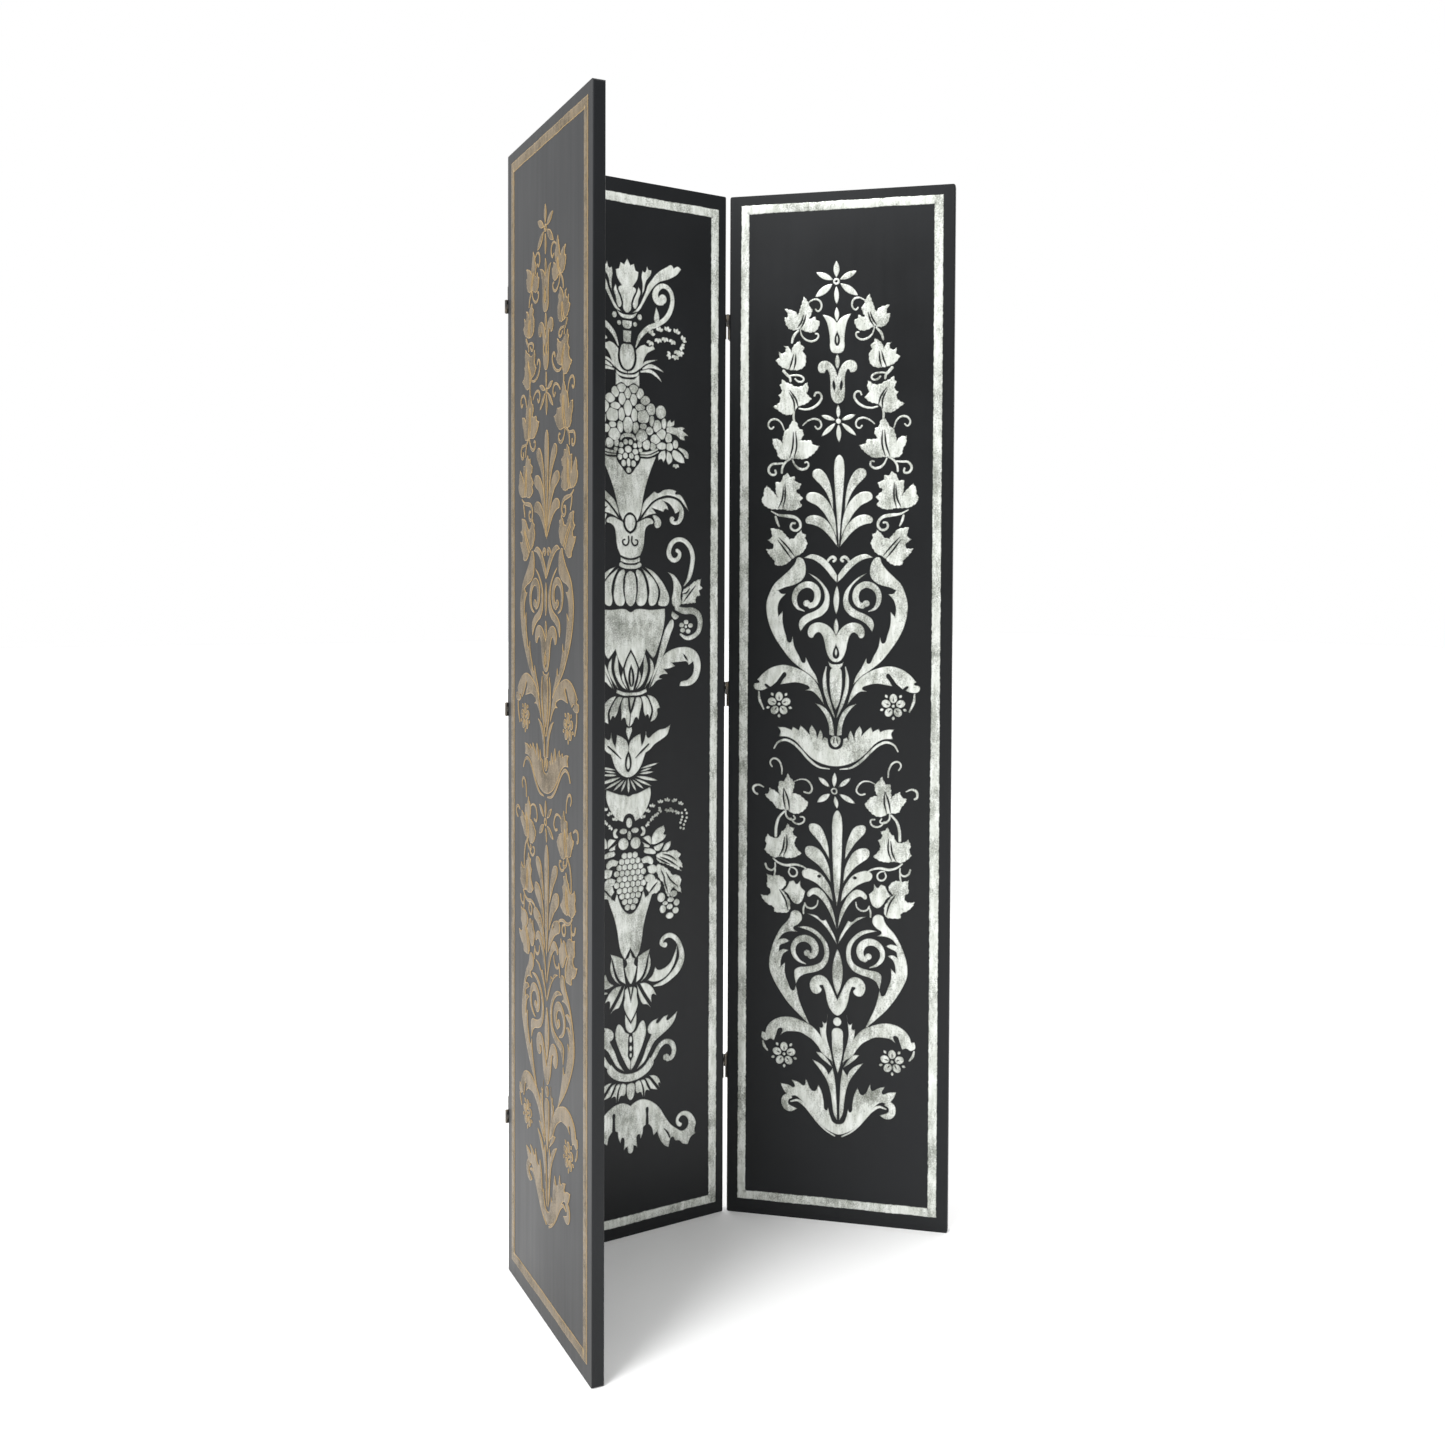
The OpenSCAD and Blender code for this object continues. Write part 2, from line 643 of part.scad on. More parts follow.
module fruit_urn() {
    translate([0, 1596])
        both_halves([
            [12, 5], [20, 14], [16, 44], [22, 76], [15, 66], [12, 90], [6, 84], [2, 99]
        ]);
    petal([0, 1505], 0, 74, 20);
    translate([0, 1487])
        square([44, 12], center = true);
    petal([0, 1400], 0, 50, 8);
    translate([0, 1262])
        both_halves([[24, 0], [27, 26], [34, 52], [52, 84]]);
    petal([0, 1230], 0, 30, 17);
    translate([0, 1185])
        both_halves([[22, 2], [30, 28], [34, 50], [48, 58], [44, 64], [30, 60], [16, 46], [4, 36]]);
    for (v = [1170, 1179])
        translate([0, v])
            square([48, 6], center = true);
    petal([0, 1100], 0, 64, 22);
    translate([0, 1020])
        both_halves([[60, 10], [73, 74]]);
    petal([0, 955], 0, 58, 16);
    petal([0, 862], 0, 34, 8);
    petal([0, 814], 0, 38, 9);
    translate([0, 728])
        both_halves([[20, 0], [42, 18], [48, 60], [24, 50]]);
    translate([0, 723])
        circle(r = 4);
    for (row = [0 : 6], side = [-2 : 2])
        if (abs(side) * 13 < 36 - row * 3)
            translate([side * 13, 660 - row * 12])
                circle(r = 5.4);
    translate([0, 500])
        both_halves([[24, 0], [31, 40], [44, 66], [10, 60]]);
    petal([0, 445], 0, 52, 15);
    petal([0, 380], 0, 56, 14);
    petal([0, 244], 0, 28, 12);
    translate([0, 168])
        both_halves([
            [8, -14], [14, -6], [24, 16], [32, 10], [40, 34], [48, 10], [60, 8], [84, -22], [95, -10],
            [84, 16], [64, 48], [44, 62], [24, 66], [6, 60]
        ]);
    for (m = [0, 1])
        mirror([m, 0]) {
            for (r = URN_RIBBONS)
                ribbon(r);
            for (f = URN_FRUIT)
                translate([f[0], f[1]])
                    circle(r = f[2]);
            for (b = URN_BEADS)
                translate(b)
                    circle(r = 3.6, $fn = 24);
            vine_leaf([110, 1108], 50, 0.7);
            vine_leaf([60, 652], 75, 0.8);
            vine_leaf([72, 628], 150, 0.55);
            rosette([118, 1066], 0.7);
        }
}

// ---------- relief and border of each panel ----------

module at_left_panel() {
    on_left()
        translate([-panel_w - hinge_gap, 0, 0])
            children();
}

module at_right_panel() {
    on_right()
        translate([panel_w + hinge_gap, 0, 0])
            children();
}

module centre_silver_border() {
    silver_border();
}

module centre_gold_border() {
    gold_border();
}

module left_silver_border() {
    at_left_panel() silver_border();
}

module left_gold_border() {
    at_left_panel() gold_border();
}

module right_silver_border() {
    at_right_panel() silver_border();
}

module right_gold_border() {
    at_right_panel() gold_border();
}

module centre_silver_relief() {
    color(SILVER) on_silver_face(relief_h) fruit_urn();
}

module centre_gold_relief() {
    color(GOLD) on_gold_face(relief_h) fruit_urn();
}

module left_silver_relief() {
    color(SILVER) at_left_panel() on_silver_face(relief_h) candelabrum();
}

module left_gold_relief() {
    color(GOLD) at_left_panel() on_gold_face(relief_h) candelabrum();
}

module right_silver_relief() {
    color(SILVER) at_right_panel() on_silver_face(relief_h) candelabrum();
}

module right_gold_relief() {
    color(GOLD) at_right_panel() on_gold_face(relief_h) candelabrum();
}

centre_board();
left_board();
right_board();
left_inner_leaf(0);  // left_top_inner_leaf
left_outer_leaf(0);  // left_top_outer_leaf
left_link(0);  // left_top_link
left_front_pin(0);  // left_top_front_pin
left_back_pin(0);  // left_top_back_pin
left_inner_leaf(1);  // left_middle_inner_leaf
left_outer_leaf(1);  // left_middle_outer_leaf
left_link(1);  // left_middle_link
left_front_pin(1);  // left_middle_front_pin
left_back_pin(1);  // left_middle_back_pin
left_inner_leaf(2);  // left_bottom_inner_leaf
left_outer_leaf(2);  // left_bottom_outer_leaf
left_link(2);  // left_bottom_link
left_front_pin(2);  // left_bottom_front_pin
left_back_pin(2);  // left_bottom_back_pin
right_inner_leaf(0);  // right_top_inner_leaf
right_outer_leaf(0);  // right_top_outer_leaf
right_link(0);  // right_top_link
right_front_pin(0);  // right_top_front_pin
right_back_pin(0);  // right_top_back_pin
right_inner_leaf(1);  // right_middle_inner_leaf
right_outer_leaf(1);  // right_middle_outer_leaf
right_link(1);  // right_middle_link
right_front_pin(1);  // right_middle_front_pin
right_back_pin(1);  // right_middle_back_pin
right_inner_leaf(2);  // right_bottom_inner_leaf
right_outer_leaf(2);  // right_bottom_outer_leaf
right_link(2);  // right_bottom_link
right_front_pin(2);  // right_bottom_front_pin
right_back_pin(2);  // right_bottom_back_pin
centre_left_screws();
centre_right_screws();
left_screws();
right_screws();
centre_silver_border();
centre_gold_border();
left_silver_border();
left_gold_border();
right_silver_border();
right_gold_border();
centre_silver_relief();
centre_gold_relief();
left_silver_relief();
left_gold_relief();
right_silver_relief();
right_gold_relief();
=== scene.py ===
"""Looks of the three-panel folding screen: black lacquered boards with leafed low relief.

The boards, hinges and screws are the CAD nodes with better materials. The borders and the
ornament are built here as real low relief and stand for their plain CAD solids. Ornament is
drawn in millimetres on a panel: u runs across from the panel's middle, v runs up from its foot,
and every height is above the board's face.
"""

import json
import math

import bpy
import numpy as np
from mathutils import Matrix, Vector
from mathutils.geometry import delaunay_2d_cdt


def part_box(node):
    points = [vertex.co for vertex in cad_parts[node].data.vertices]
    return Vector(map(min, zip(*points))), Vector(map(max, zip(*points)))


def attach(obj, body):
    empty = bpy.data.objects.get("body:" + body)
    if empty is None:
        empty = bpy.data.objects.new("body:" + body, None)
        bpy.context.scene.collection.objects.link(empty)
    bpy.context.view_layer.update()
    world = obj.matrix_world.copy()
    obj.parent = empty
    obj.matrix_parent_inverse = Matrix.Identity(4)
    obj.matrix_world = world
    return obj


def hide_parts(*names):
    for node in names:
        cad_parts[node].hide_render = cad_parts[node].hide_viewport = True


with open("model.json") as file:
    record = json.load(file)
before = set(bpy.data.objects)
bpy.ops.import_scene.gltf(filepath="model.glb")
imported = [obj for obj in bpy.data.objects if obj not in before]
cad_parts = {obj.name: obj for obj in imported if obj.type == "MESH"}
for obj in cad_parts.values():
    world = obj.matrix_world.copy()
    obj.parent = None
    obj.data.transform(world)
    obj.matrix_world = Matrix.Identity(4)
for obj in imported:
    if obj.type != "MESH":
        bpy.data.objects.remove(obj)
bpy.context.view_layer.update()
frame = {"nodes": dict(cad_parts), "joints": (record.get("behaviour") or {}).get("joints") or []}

MM = 0.001
S = True  # marks a control point as a sharp corner

# relief, in mm
STEP = 2.4  # spacing of points along an outline
CELL = 5.5  # spacing of points inside a shape
RIM_HEIGHT = 0.40  # height at a shape's edge
CROWN_HEIGHT = 1.0  # height of its rounded top
TENDRIL_HEIGHT = CROWN_HEIGHT - 0.15
BLOSSOM_HEIGHT = 0.95
ROUNDING = 2.4  # distance from the edge over which the top rounds up
SINK = 0.15  # how far the underside goes into the lacquer

# the leafed frame round each face, in mm
BORDER_WIDTH = 15.5
BORDER_HEIGHT = 0.6
BORDER_RIM = 0.3
BORDER_ROUNDING = 1.2
BORDER_STEP = 4  # spacing of points along its edges
BORDER_CELL = 400.0  # so wide that a border gets no points inside it
NICKS, DRIFT = 0.28, 0.4  # how far its edges stray at each point, and slowly along a side
OUTER_BORDER = (179, 26, 1813)  # half width, foot and head of the outer panels' frames
CENTRE_BORDER = (183, 21, 1805)

RNG = np.random.default_rng(7)


# ---------------------------------------------------------------- curves


def smooth(points, closed=True):
    """A smooth line through the control points, sharp where a point carries S."""
    at = np.array([p[:2] for p in points], float)
    sharp = [len(p) > 2 for p in points]
    n = len(at)
    spans = n if closed else n - 1

    def heading(i, side):
        before, after = at[(i - 1) % n], at[(i + 1) % n]
        end = not closed and i in (0, n - 1)
        if sharp[i] or end:
            d = after - at[i] if side > 0 else at[i] - before
        else:
            back, ahead = at[i] - before, after - at[i]
            d = back / (np.hypot(*back) + 1e-9) + ahead / (np.hypot(*ahead) + 1e-9)
        return d / (np.hypot(*d) + 1e-9)

    line = []
    for i in range(spans):
        a, b = at[i], at[(i + 1) % n]
        length = np.hypot(*(b - a))
        t = np.linspace(0, 1, max(2, math.ceil(length / STEP) + 1))[:-1, None]
        a_way, b_way = heading(i, 1) * length, heading((i + 1) % n, -1) * length
        line.append(
            (2 * t**3 - 3 * t**2 + 1) * a
            + (t**3 - 2 * t**2 + t) * a_way
            + (3 * t**2 - 2 * t**3) * b
            + (t**3 - t**2) * b_way
        )
    line = np.vstack(line)
    return line if closed else np.vstack([line, at[-1]])


def ribbon(points, widths):
    """The outline of a band along the points, its width going evenly through the given widths."""
    tip = 0.7  # how far a tip reaches past the line's end, in half widths
    line = smooth(points, closed=False)
    run = np.r_[0, np.cumsum(np.hypot(*np.diff(line, axis=0).T))]
    half = np.interp(run / run[-1], np.linspace(0, 1, len(widths)), widths) / 2
    way = np.gradient(line, axis=0)
    way /= np.hypot(*way.T)[:, None]
    across = np.c_[-way[:, 1], way[:, 0]] * half[:, None]
    start, end = line[0] - way[0] * half[0] * tip, line[-1] + way[-1] * half[-1] * tip
    return np.vstack([start, line - across, end, (line + across)[::-1]])


def lens(a, b, width):
    """A pointed oval from a to b."""
    fullness = 0.8  # below 1 makes the sides rounder than a sine wave
    a, b = np.array(a, float), np.array(b, float)
    axis = b - a
    length = np.hypot(*axis)
    n = max(5, math.ceil(length / STEP) + 1)
    t = np.linspace(0, 1, n)[:, None]
    side = np.array([-axis[1], axis[0]]) / length * width / 2
    bulge = np.sin(np.pi * t) ** fullness
    return np.vstack([a + axis * t - side * bulge, (a + axis * t + side * bulge)[-2:0:-1]])


def oval(centre, ru, rv, turn=0.0):
    """An ellipse, turned by an angle in degrees."""
    n = max(8, math.ceil(2 * math.pi * (ru + rv) / 2 / STEP))
    t = np.arange(n) / n * 2 * math.pi
    c, s = math.cos(math.radians(turn)), math.sin(math.radians(turn))
    u, v = ru * np.cos(t), rv * np.sin(t)
    return np.c_[centre[0] + u * c - v * s, centre[1] + u * s + v * c]


def toothed(outline):
    """The outline with small saw teeth pushed out of it, as on a vine leaf."""
    size, spacing = 1.5, 8.0
    inward = 0.35  # the share of a tooth's size that goes into the leaf
    ahead = np.roll(outline, -1, axis=0) - np.roll(outline, 1, axis=0)
    out = np.c_[ahead[:, 1], -ahead[:, 0]] / np.maximum(np.hypot(*ahead.T), 1e-9)[:, None]
    twice_area = (outline[:, 0] * ahead[:, 1]).sum()
    run = np.cumsum(np.hypot(*np.diff(outline, axis=0, prepend=outline[-1:]).T))
    teeth = (run / spacing % 1) - inward
    return outline + out * np.sign(twice_area) * size * teeth[:, None]


def closed_half(points):
    """A whole outline from its right half, whose first and last points lie on the middle line."""
    whole = list(points) + [(-p[0], *p[1:]) for p in points[-2:0:-1]]
    return smooth(whole)


def flipped(line):
    """The same outline on the other side of the middle line."""
    return line[::-1] * (-1, 1)


# ---------------------------------------------------------------- drawings


class Drawing:
    """Shapes on one panel face: each is an outline with cuts through it, and its top's height."""

    def __init__(self):
        self.shapes = []

    def middle(self, outline, cuts=(), top=CROWN_HEIGHT):
        """A shape as it is."""
        self.shapes.append((outline, list(cuts), top))

    def pair(self, outline, cuts=(), top=CROWN_HEIGHT):
        """A shape and its mirror image on the other side."""
        self.middle(outline, cuts, top)
        self.middle(flipped(outline), [flipped(c) for c in cuts], top)

    def whole(self, points, cuts=()):
        """A shape across the middle line, from the points of its right half."""
        self.middle(closed_half(points), cuts)

    def sides(self, points, cuts=()):
        """A smooth shape on each side."""
        self.pair(smooth(points), cuts)

    def ribbons(self, points, widths):
        """A band on each side."""
        self.pair(ribbon(points, widths))

    def leaf(self, points, veins, width=2.5):
        """A leaf on each side, with thin veins cut down to the lacquer."""
        cuts = [ribbon(v, (0.3, width, width, 0.3)) for v in veins]
        self.pair(toothed(smooth(points)), cuts)

    def tendril(self, points, widths=(2.5, 4.0, 3.2)):
        """A thin, slightly lower band on each side."""
        self.pair(ribbon(points, widths), top=TENDRIL_HEIGHT)

    def heap(self, fruit, swell, gap=0.85):
        """Fruit (u, v, ru, rv) on both sides, each swelling until it almost meets the others."""
        mirrored = [(-u, v, ru, rv) for u, v, ru, rv in fruit if u]
        every = np.array([*fruit, *mirrored], float)
        smallest, growth = 0.5, 0.02
        t = np.linspace(0, 2 * math.pi, 24, endpoint=False)
        for i, (u, v, ru, rv) in enumerate(every):
            way = np.c_[ru * np.cos(t), rv * np.sin(t)]
            others = np.delete(every, i, axis=0)
            reach = np.full(len(t), smallest)
            for s in np.arange(smallest, swell, growth):
                p = np.array((u, v)) + way * (s + gap / min(ru, rv))
                from_others = (p[:, None] - others[:, :2]) / others[:, 2:]
                nearest = np.hypot(*np.moveaxis(from_others, 2, 0)).min(1)
                free = (nearest > s) & (reach > s - 1.5 * growth)
                reach[free] = s
            reach = (np.roll(reach, 1) + 2 * reach + np.roll(reach, -1)) / 4
            self.middle(smooth([tuple(p) for p in np.array((u, v)) + way * reach[:, None]]))

    def star(self, centre, petals, ring, hole):
        """A six-petalled star. petals are (start, tip, width), upright or on the right side."""
        for a, b, width in petals:
            a, b = np.add(centre, a), np.add(centre, b)
            upright = abs(b[0] - centre[0]) < 1
            (self.middle if upright else self.pair)(lens(a, b, width))
        self.middle(oval(centre, ring, ring), [oval(centre, hole, hole)] if hole else [])

    def bent(self, stations):
        """Moves the middle line sideways as it was painted, through (v, shift) stations."""
        v, shift = np.array(stations, float).T

        def moved(line):
            return np.c_[line[:, 0] + np.interp(line[:, 1], v, shift), line[:, 1]]

        self.shapes = [(moved(o), [moved(c) for c in cuts], top) for o, cuts, top in self.shapes]
        return self


# ---------------------------------------------------------------- design 1, on both outer panels


def draw_stars(d):
    big = [
        ((0, 7), (0, 36), 11), ((6, 3), (36, 17), 11), ((7, -4), (38, -26), 12.5),
        ((0, -8), (0, -40), 9),
    ]
    mid = [
        ((0, 5), (0, 29), 7.5), ((5, 2), (31, 11), 8), ((5, -3), (31, -26), 8.5),
        ((0, -5), (0, -37), 9),
    ]
    low = [
        ((0, 7), (0, 33), 8.5), ((8, 7), (29, 24), 8.5), ((8, -5), (34, -21), 10),
        ((0, -9), (0, -31), 8),
    ]
    d.star((0, 1672), big, 6.2, 2.2)
    d.star((0, 1427), mid, 4.8, 0)
    d.star((0, 773), low, 6.2, 3.2)


def draw_flowers(d):
    """The tulips, lily and spindles on the middle line."""
    d.middle(lens((0, 1602), (0, 1627), 8.5))
    cup = [
        (0, 1600, S), (6, 1607), (14, 1612), (26, 1615, S), (19, 1603), (15, 1588), (13, 1570),
        (13, 1556), (9, 1548), (0, 1546),
    ]
    d.whole(cup, [closed_half([(0, 1584, S), (4, 1574), (4, 1564), (0, 1559)])])
    d.middle(lens((0, 1562), (0, 1578), 3.6))

    d.middle(lens((0, 1518), (0, 1545), 8.5))
    lily = [
        (0, 1507, S), (4, 1519), (11, 1529), (22, 1534), (32, 1530), (35, 1520), (31, 1513),
        (23, 1512, S), (19, 1518), (15, 1512), (13, 1498), (13, 1480), (11, 1467), (6, 1460),
        (0, 1458),
    ]
    d.whole(lily, [lens((5.5, 1481), (7.5, 1499), 5), flipped(lens((5.5, 1481), (7.5, 1499), 5))])

    d.middle(lens((0, 1087), (0, 1138), 10.5))
    d.middle(lens((0, 1049), (0, 1080), 8.5))
    horned = [
        (0, 1049, S), (5, 1057), (12, 1065), (23, 1071), (36, 1072), (47, 1066), (51, 1055),
        (48, 1046), (42, 1045), (38, 1051), (31, 1055), (25, 1050), (21, 1039), (18, 1024),
        (13, 1011), (7, 1004), (0, 1002),
    ]
    d.whole(horned, [closed_half([(0, 1033, S), (5, 1021), (5, 1012), (0, 1008)])])
    d.middle(lens((0, 1012), (0, 1027), 4.4))
    d.whole([(0, 998), (8, 999), (14, 1003, S), (10, 994), (0, 989)])

    d.middle(lens((0, 409), (0, 491), 19))
    hooked = [
        (0, 400, S), (6, 413), (13, 428), (21, 439), (31, 443), (42, 440), (49, 431), (49, 418),
        (42, 409), (33, 410), (28, 417), (32, 424), (26, 425, S), (22, 414), (19, 398), (13, 383),
        (0, 372),
    ]
    d.whole(hooked)
    d.middle(oval((0, 361), 7.5, 8))


def draw_palmettes(d):
    d.whole([(0, 1368), (6, 1363), (9, 1350), (9, 1328), (7, 1298), (4, 1260), (0, 1203, S)])
    d.sides([
        (10, 1266, S), (12, 1298), (17, 1320), (26, 1337), (36, 1344), (46, 1341), (48, 1332),
        (43, 1325), (33, 1315), (24, 1303), (17, 1288),
    ])
    d.sides([
        (4, 1222, S), (6, 1250), (12, 1273), (21, 1288), (33, 1299), (46, 1303), (57, 1300),
        (59, 1291), (52, 1285), (40, 1279), (28, 1267), (18, 1251), (9, 1234),
    ])
    d.sides([
        (2, 1206, S), (7, 1228), (14, 1243), (26, 1256), (40, 1262), (53, 1261), (60, 1255),
        (58, 1248), (49, 1246), (36, 1241), (22, 1230), (11, 1217),
    ])

    d.whole([(0, 739), (6, 732), (9, 716), (9, 690), (8, 650), (5, 600), (0, 568, S)])
    d.sides([
        (14, 652, S), (16, 675), (22, 695), (30, 709), (40, 714), (50, 712), (50, 702), (43, 693),
        (33, 682), (23, 667),
    ])
    d.sides([
        (11, 610, S), (14, 635), (21, 653), (31, 667), (43, 673), (55, 672), (58, 664), (55, 656),
        (46, 649), (33, 639), (21, 625),
    ])
    d.sides([
        (7, 576, S), (11, 598), (18, 612), (29, 625), (41, 631), (55, 633), (63, 627), (60, 617),
        (50, 613), (36, 606), (22, 593),
    ], [oval((32, 620), 3.2, 2.6)])
    d.sides([
        (1, 527, S), (5, 553), (12, 573), (22, 590), (34, 599), (46, 597), (54, 586), (51, 582),
        (42, 587), (33, 583), (23, 573), (15, 560), (8, 545),
    ])


def draw_upper_vine(d):
    """Leaves and tendrils up each side of the upper half, from the top down."""
    d.leaf([
        (67, 1591), (76, 1589), (85, 1592), (91, 1600), (94, 1612, S), (88, 1614), (93, 1628, S),
        (84, 1626), (74, 1622), (69, 1616, S), (66, 1624), (63, 1634), (58, 1648, S), (51, 1639),
        (48, 1630), (43, 1625, S), (46, 1615), (49, 1608), (43, 1610), (38, 1613, S), (37, 1607),
        (30, 1603, S), (32, 1596), (36, 1588), (45, 1584), (55, 1586),
    ], [[(65, 1592), (59, 1602), (55, 1616)], [(70, 1593), (63, 1604), (59, 1616)]])
    d.tendril([(50, 1637), (40, 1642), (31, 1640), (27, 1632), (29, 1624), (34, 1621), (38, 1625)])
    d.tendril([(66, 1590), (62, 1578), (52, 1570), (42, 1569), (34, 1575), (34, 1581), (39, 1582)])
    d.tendril([(69, 1589), (78, 1578), (81, 1567)], (4, 5.5, 4))
    d.leaf([
        (80, 1519), (90, 1521), (101, 1526), (111, 1538, S), (104, 1542), (105, 1553, S),
        (97, 1549), (92, 1556), (96, 1563, S), (87, 1560), (82, 1552, S), (78, 1562), (67, 1571, S),
        (64, 1563), (58, 1559, S), (61, 1551), (56, 1545, S), (56, 1535), (58, 1526), (66, 1520),
    ], [[(78, 1520), (75, 1532), (74, 1547)], [(86, 1521), (82, 1532), (78, 1547)]])
    d.tendril([(97, 1519), (91, 1512), (85, 1506), (84, 1499)], (5.5, 5.5, 4))
    d.tendril([
        (87, 1509), (76, 1510), (65, 1508), (60, 1503), (64, 1498), (71, 1499), (76, 1504),
    ], (3, 4, 3.6))
    d.leaf([
        (81, 1442), (91, 1440), (100, 1443), (108, 1449), (117, 1455, S), (107, 1461), (103, 1468),
        (106, 1476, S), (100, 1481), (104, 1493, S), (101, 1496), (99, 1504, S), (92, 1498),
        (84, 1495), (75, 1490), (65, 1490), (54, 1497, S), (52, 1485), (55, 1478), (47, 1468, S),
        (54, 1461), (63, 1457), (71, 1455),
    ], [[(71, 1453), (75, 1467), (86, 1484)], [(78, 1447), (79, 1464), (87, 1480)]])
    d.tendril([
        (70, 1451), (58, 1449), (45, 1452), (34, 1460), (29, 1470), (32, 1477), (39, 1478),
        (42, 1472),
    ], (3, 5, 3.6))
    d.tendril([(79, 1446), (80, 1436), (79, 1429)], (4, 4.4, 4))
    d.leaf([
        (85, 1363), (99, 1361), (109, 1366), (112, 1376), (118, 1387), (119, 1399, S), (108, 1397),
        (101, 1391, S), (100, 1402), (96, 1413, S), (91, 1415), (86, 1424), (80, 1432, S),
        (74, 1426), (71, 1417), (64, 1413, S), (63, 1404), (67, 1396), (58, 1394), (50, 1395, S),
        (46, 1387), (35, 1384, S), (43, 1374), (51, 1367), (60, 1362), (72, 1362),
    ], [[(81, 1364), (76, 1384), (77, 1410)], [(89, 1364), (83, 1384), (81, 1410)]])
    d.tendril([(64, 1421), (54, 1429), (42, 1432), (33, 1428), (31, 1419), (37, 1414), (42, 1419)])
    d.tendril([
        (97, 1413), (103, 1427), (112, 1433), (122, 1431), (126, 1423), (121, 1416), (116, 1420),
    ])
    d.tendril([
        (84, 1361), (79, 1351), (70, 1344), (61, 1344), (55, 1350), (57, 1356), (62, 1355),
    ], (3, 5, 3))
    d.tendril([(86, 1363), (96, 1357), (102, 1347), (103, 1337)], (3, 5, 4))
    d.tendril([
        (98, 1355), (110, 1354), (121, 1353), (127, 1344), (122, 1335), (114, 1336), (115, 1343),
    ], (3, 5, 4))
    d.leaf([
        (100, 1273), (112, 1273), (126, 1275), (136, 1282), (140, 1291, S), (136, 1297),
        (135, 1307), (130, 1316, S), (122, 1308), (112, 1297, S), (114, 1308), (114, 1322, S),
        (105, 1322), (101, 1331), (92, 1338, S), (88, 1331), (79, 1331, S), (79, 1324),
        (68, 1318, S), (72, 1309), (77, 1306), (72, 1300), (64, 1292, S), (70, 1287), (66, 1279, S),
        (75, 1273), (88, 1271),
    ], [[(101, 1275), (97, 1292), (97, 1318)], [(109, 1275), (102, 1291), (100, 1314)]])
    d.tendril([
        (122, 1270), (108, 1263), (92, 1261), (78, 1258), (70, 1250), (70, 1240), (78, 1235),
        (86, 1240), (84, 1248), (78, 1248),
    ], (2, 6.5, 5, 4))
    d.tendril([(114, 1261), (111, 1251), (107, 1242)], (4, 5, 3))
    d.leaf([
        (77, 1189), (83, 1185), (90, 1178), (101, 1173), (113, 1174, S), (115, 1182), (124, 1191),
        (131, 1202, S), (120, 1203), (117, 1208), (128, 1219, S), (121, 1223), (123, 1240, S),
        (112, 1238), (104, 1236), (97, 1229), (89, 1220, S), (80, 1222), (75, 1229), (67, 1236, S),
        (64, 1229), (59, 1229, S), (60, 1221), (56, 1213, S), (59, 1205), (66, 1195),
    ], [[(79, 1190), (92, 1206), (108, 1223)], [(85, 1186), (98, 1203), (110, 1219)]])


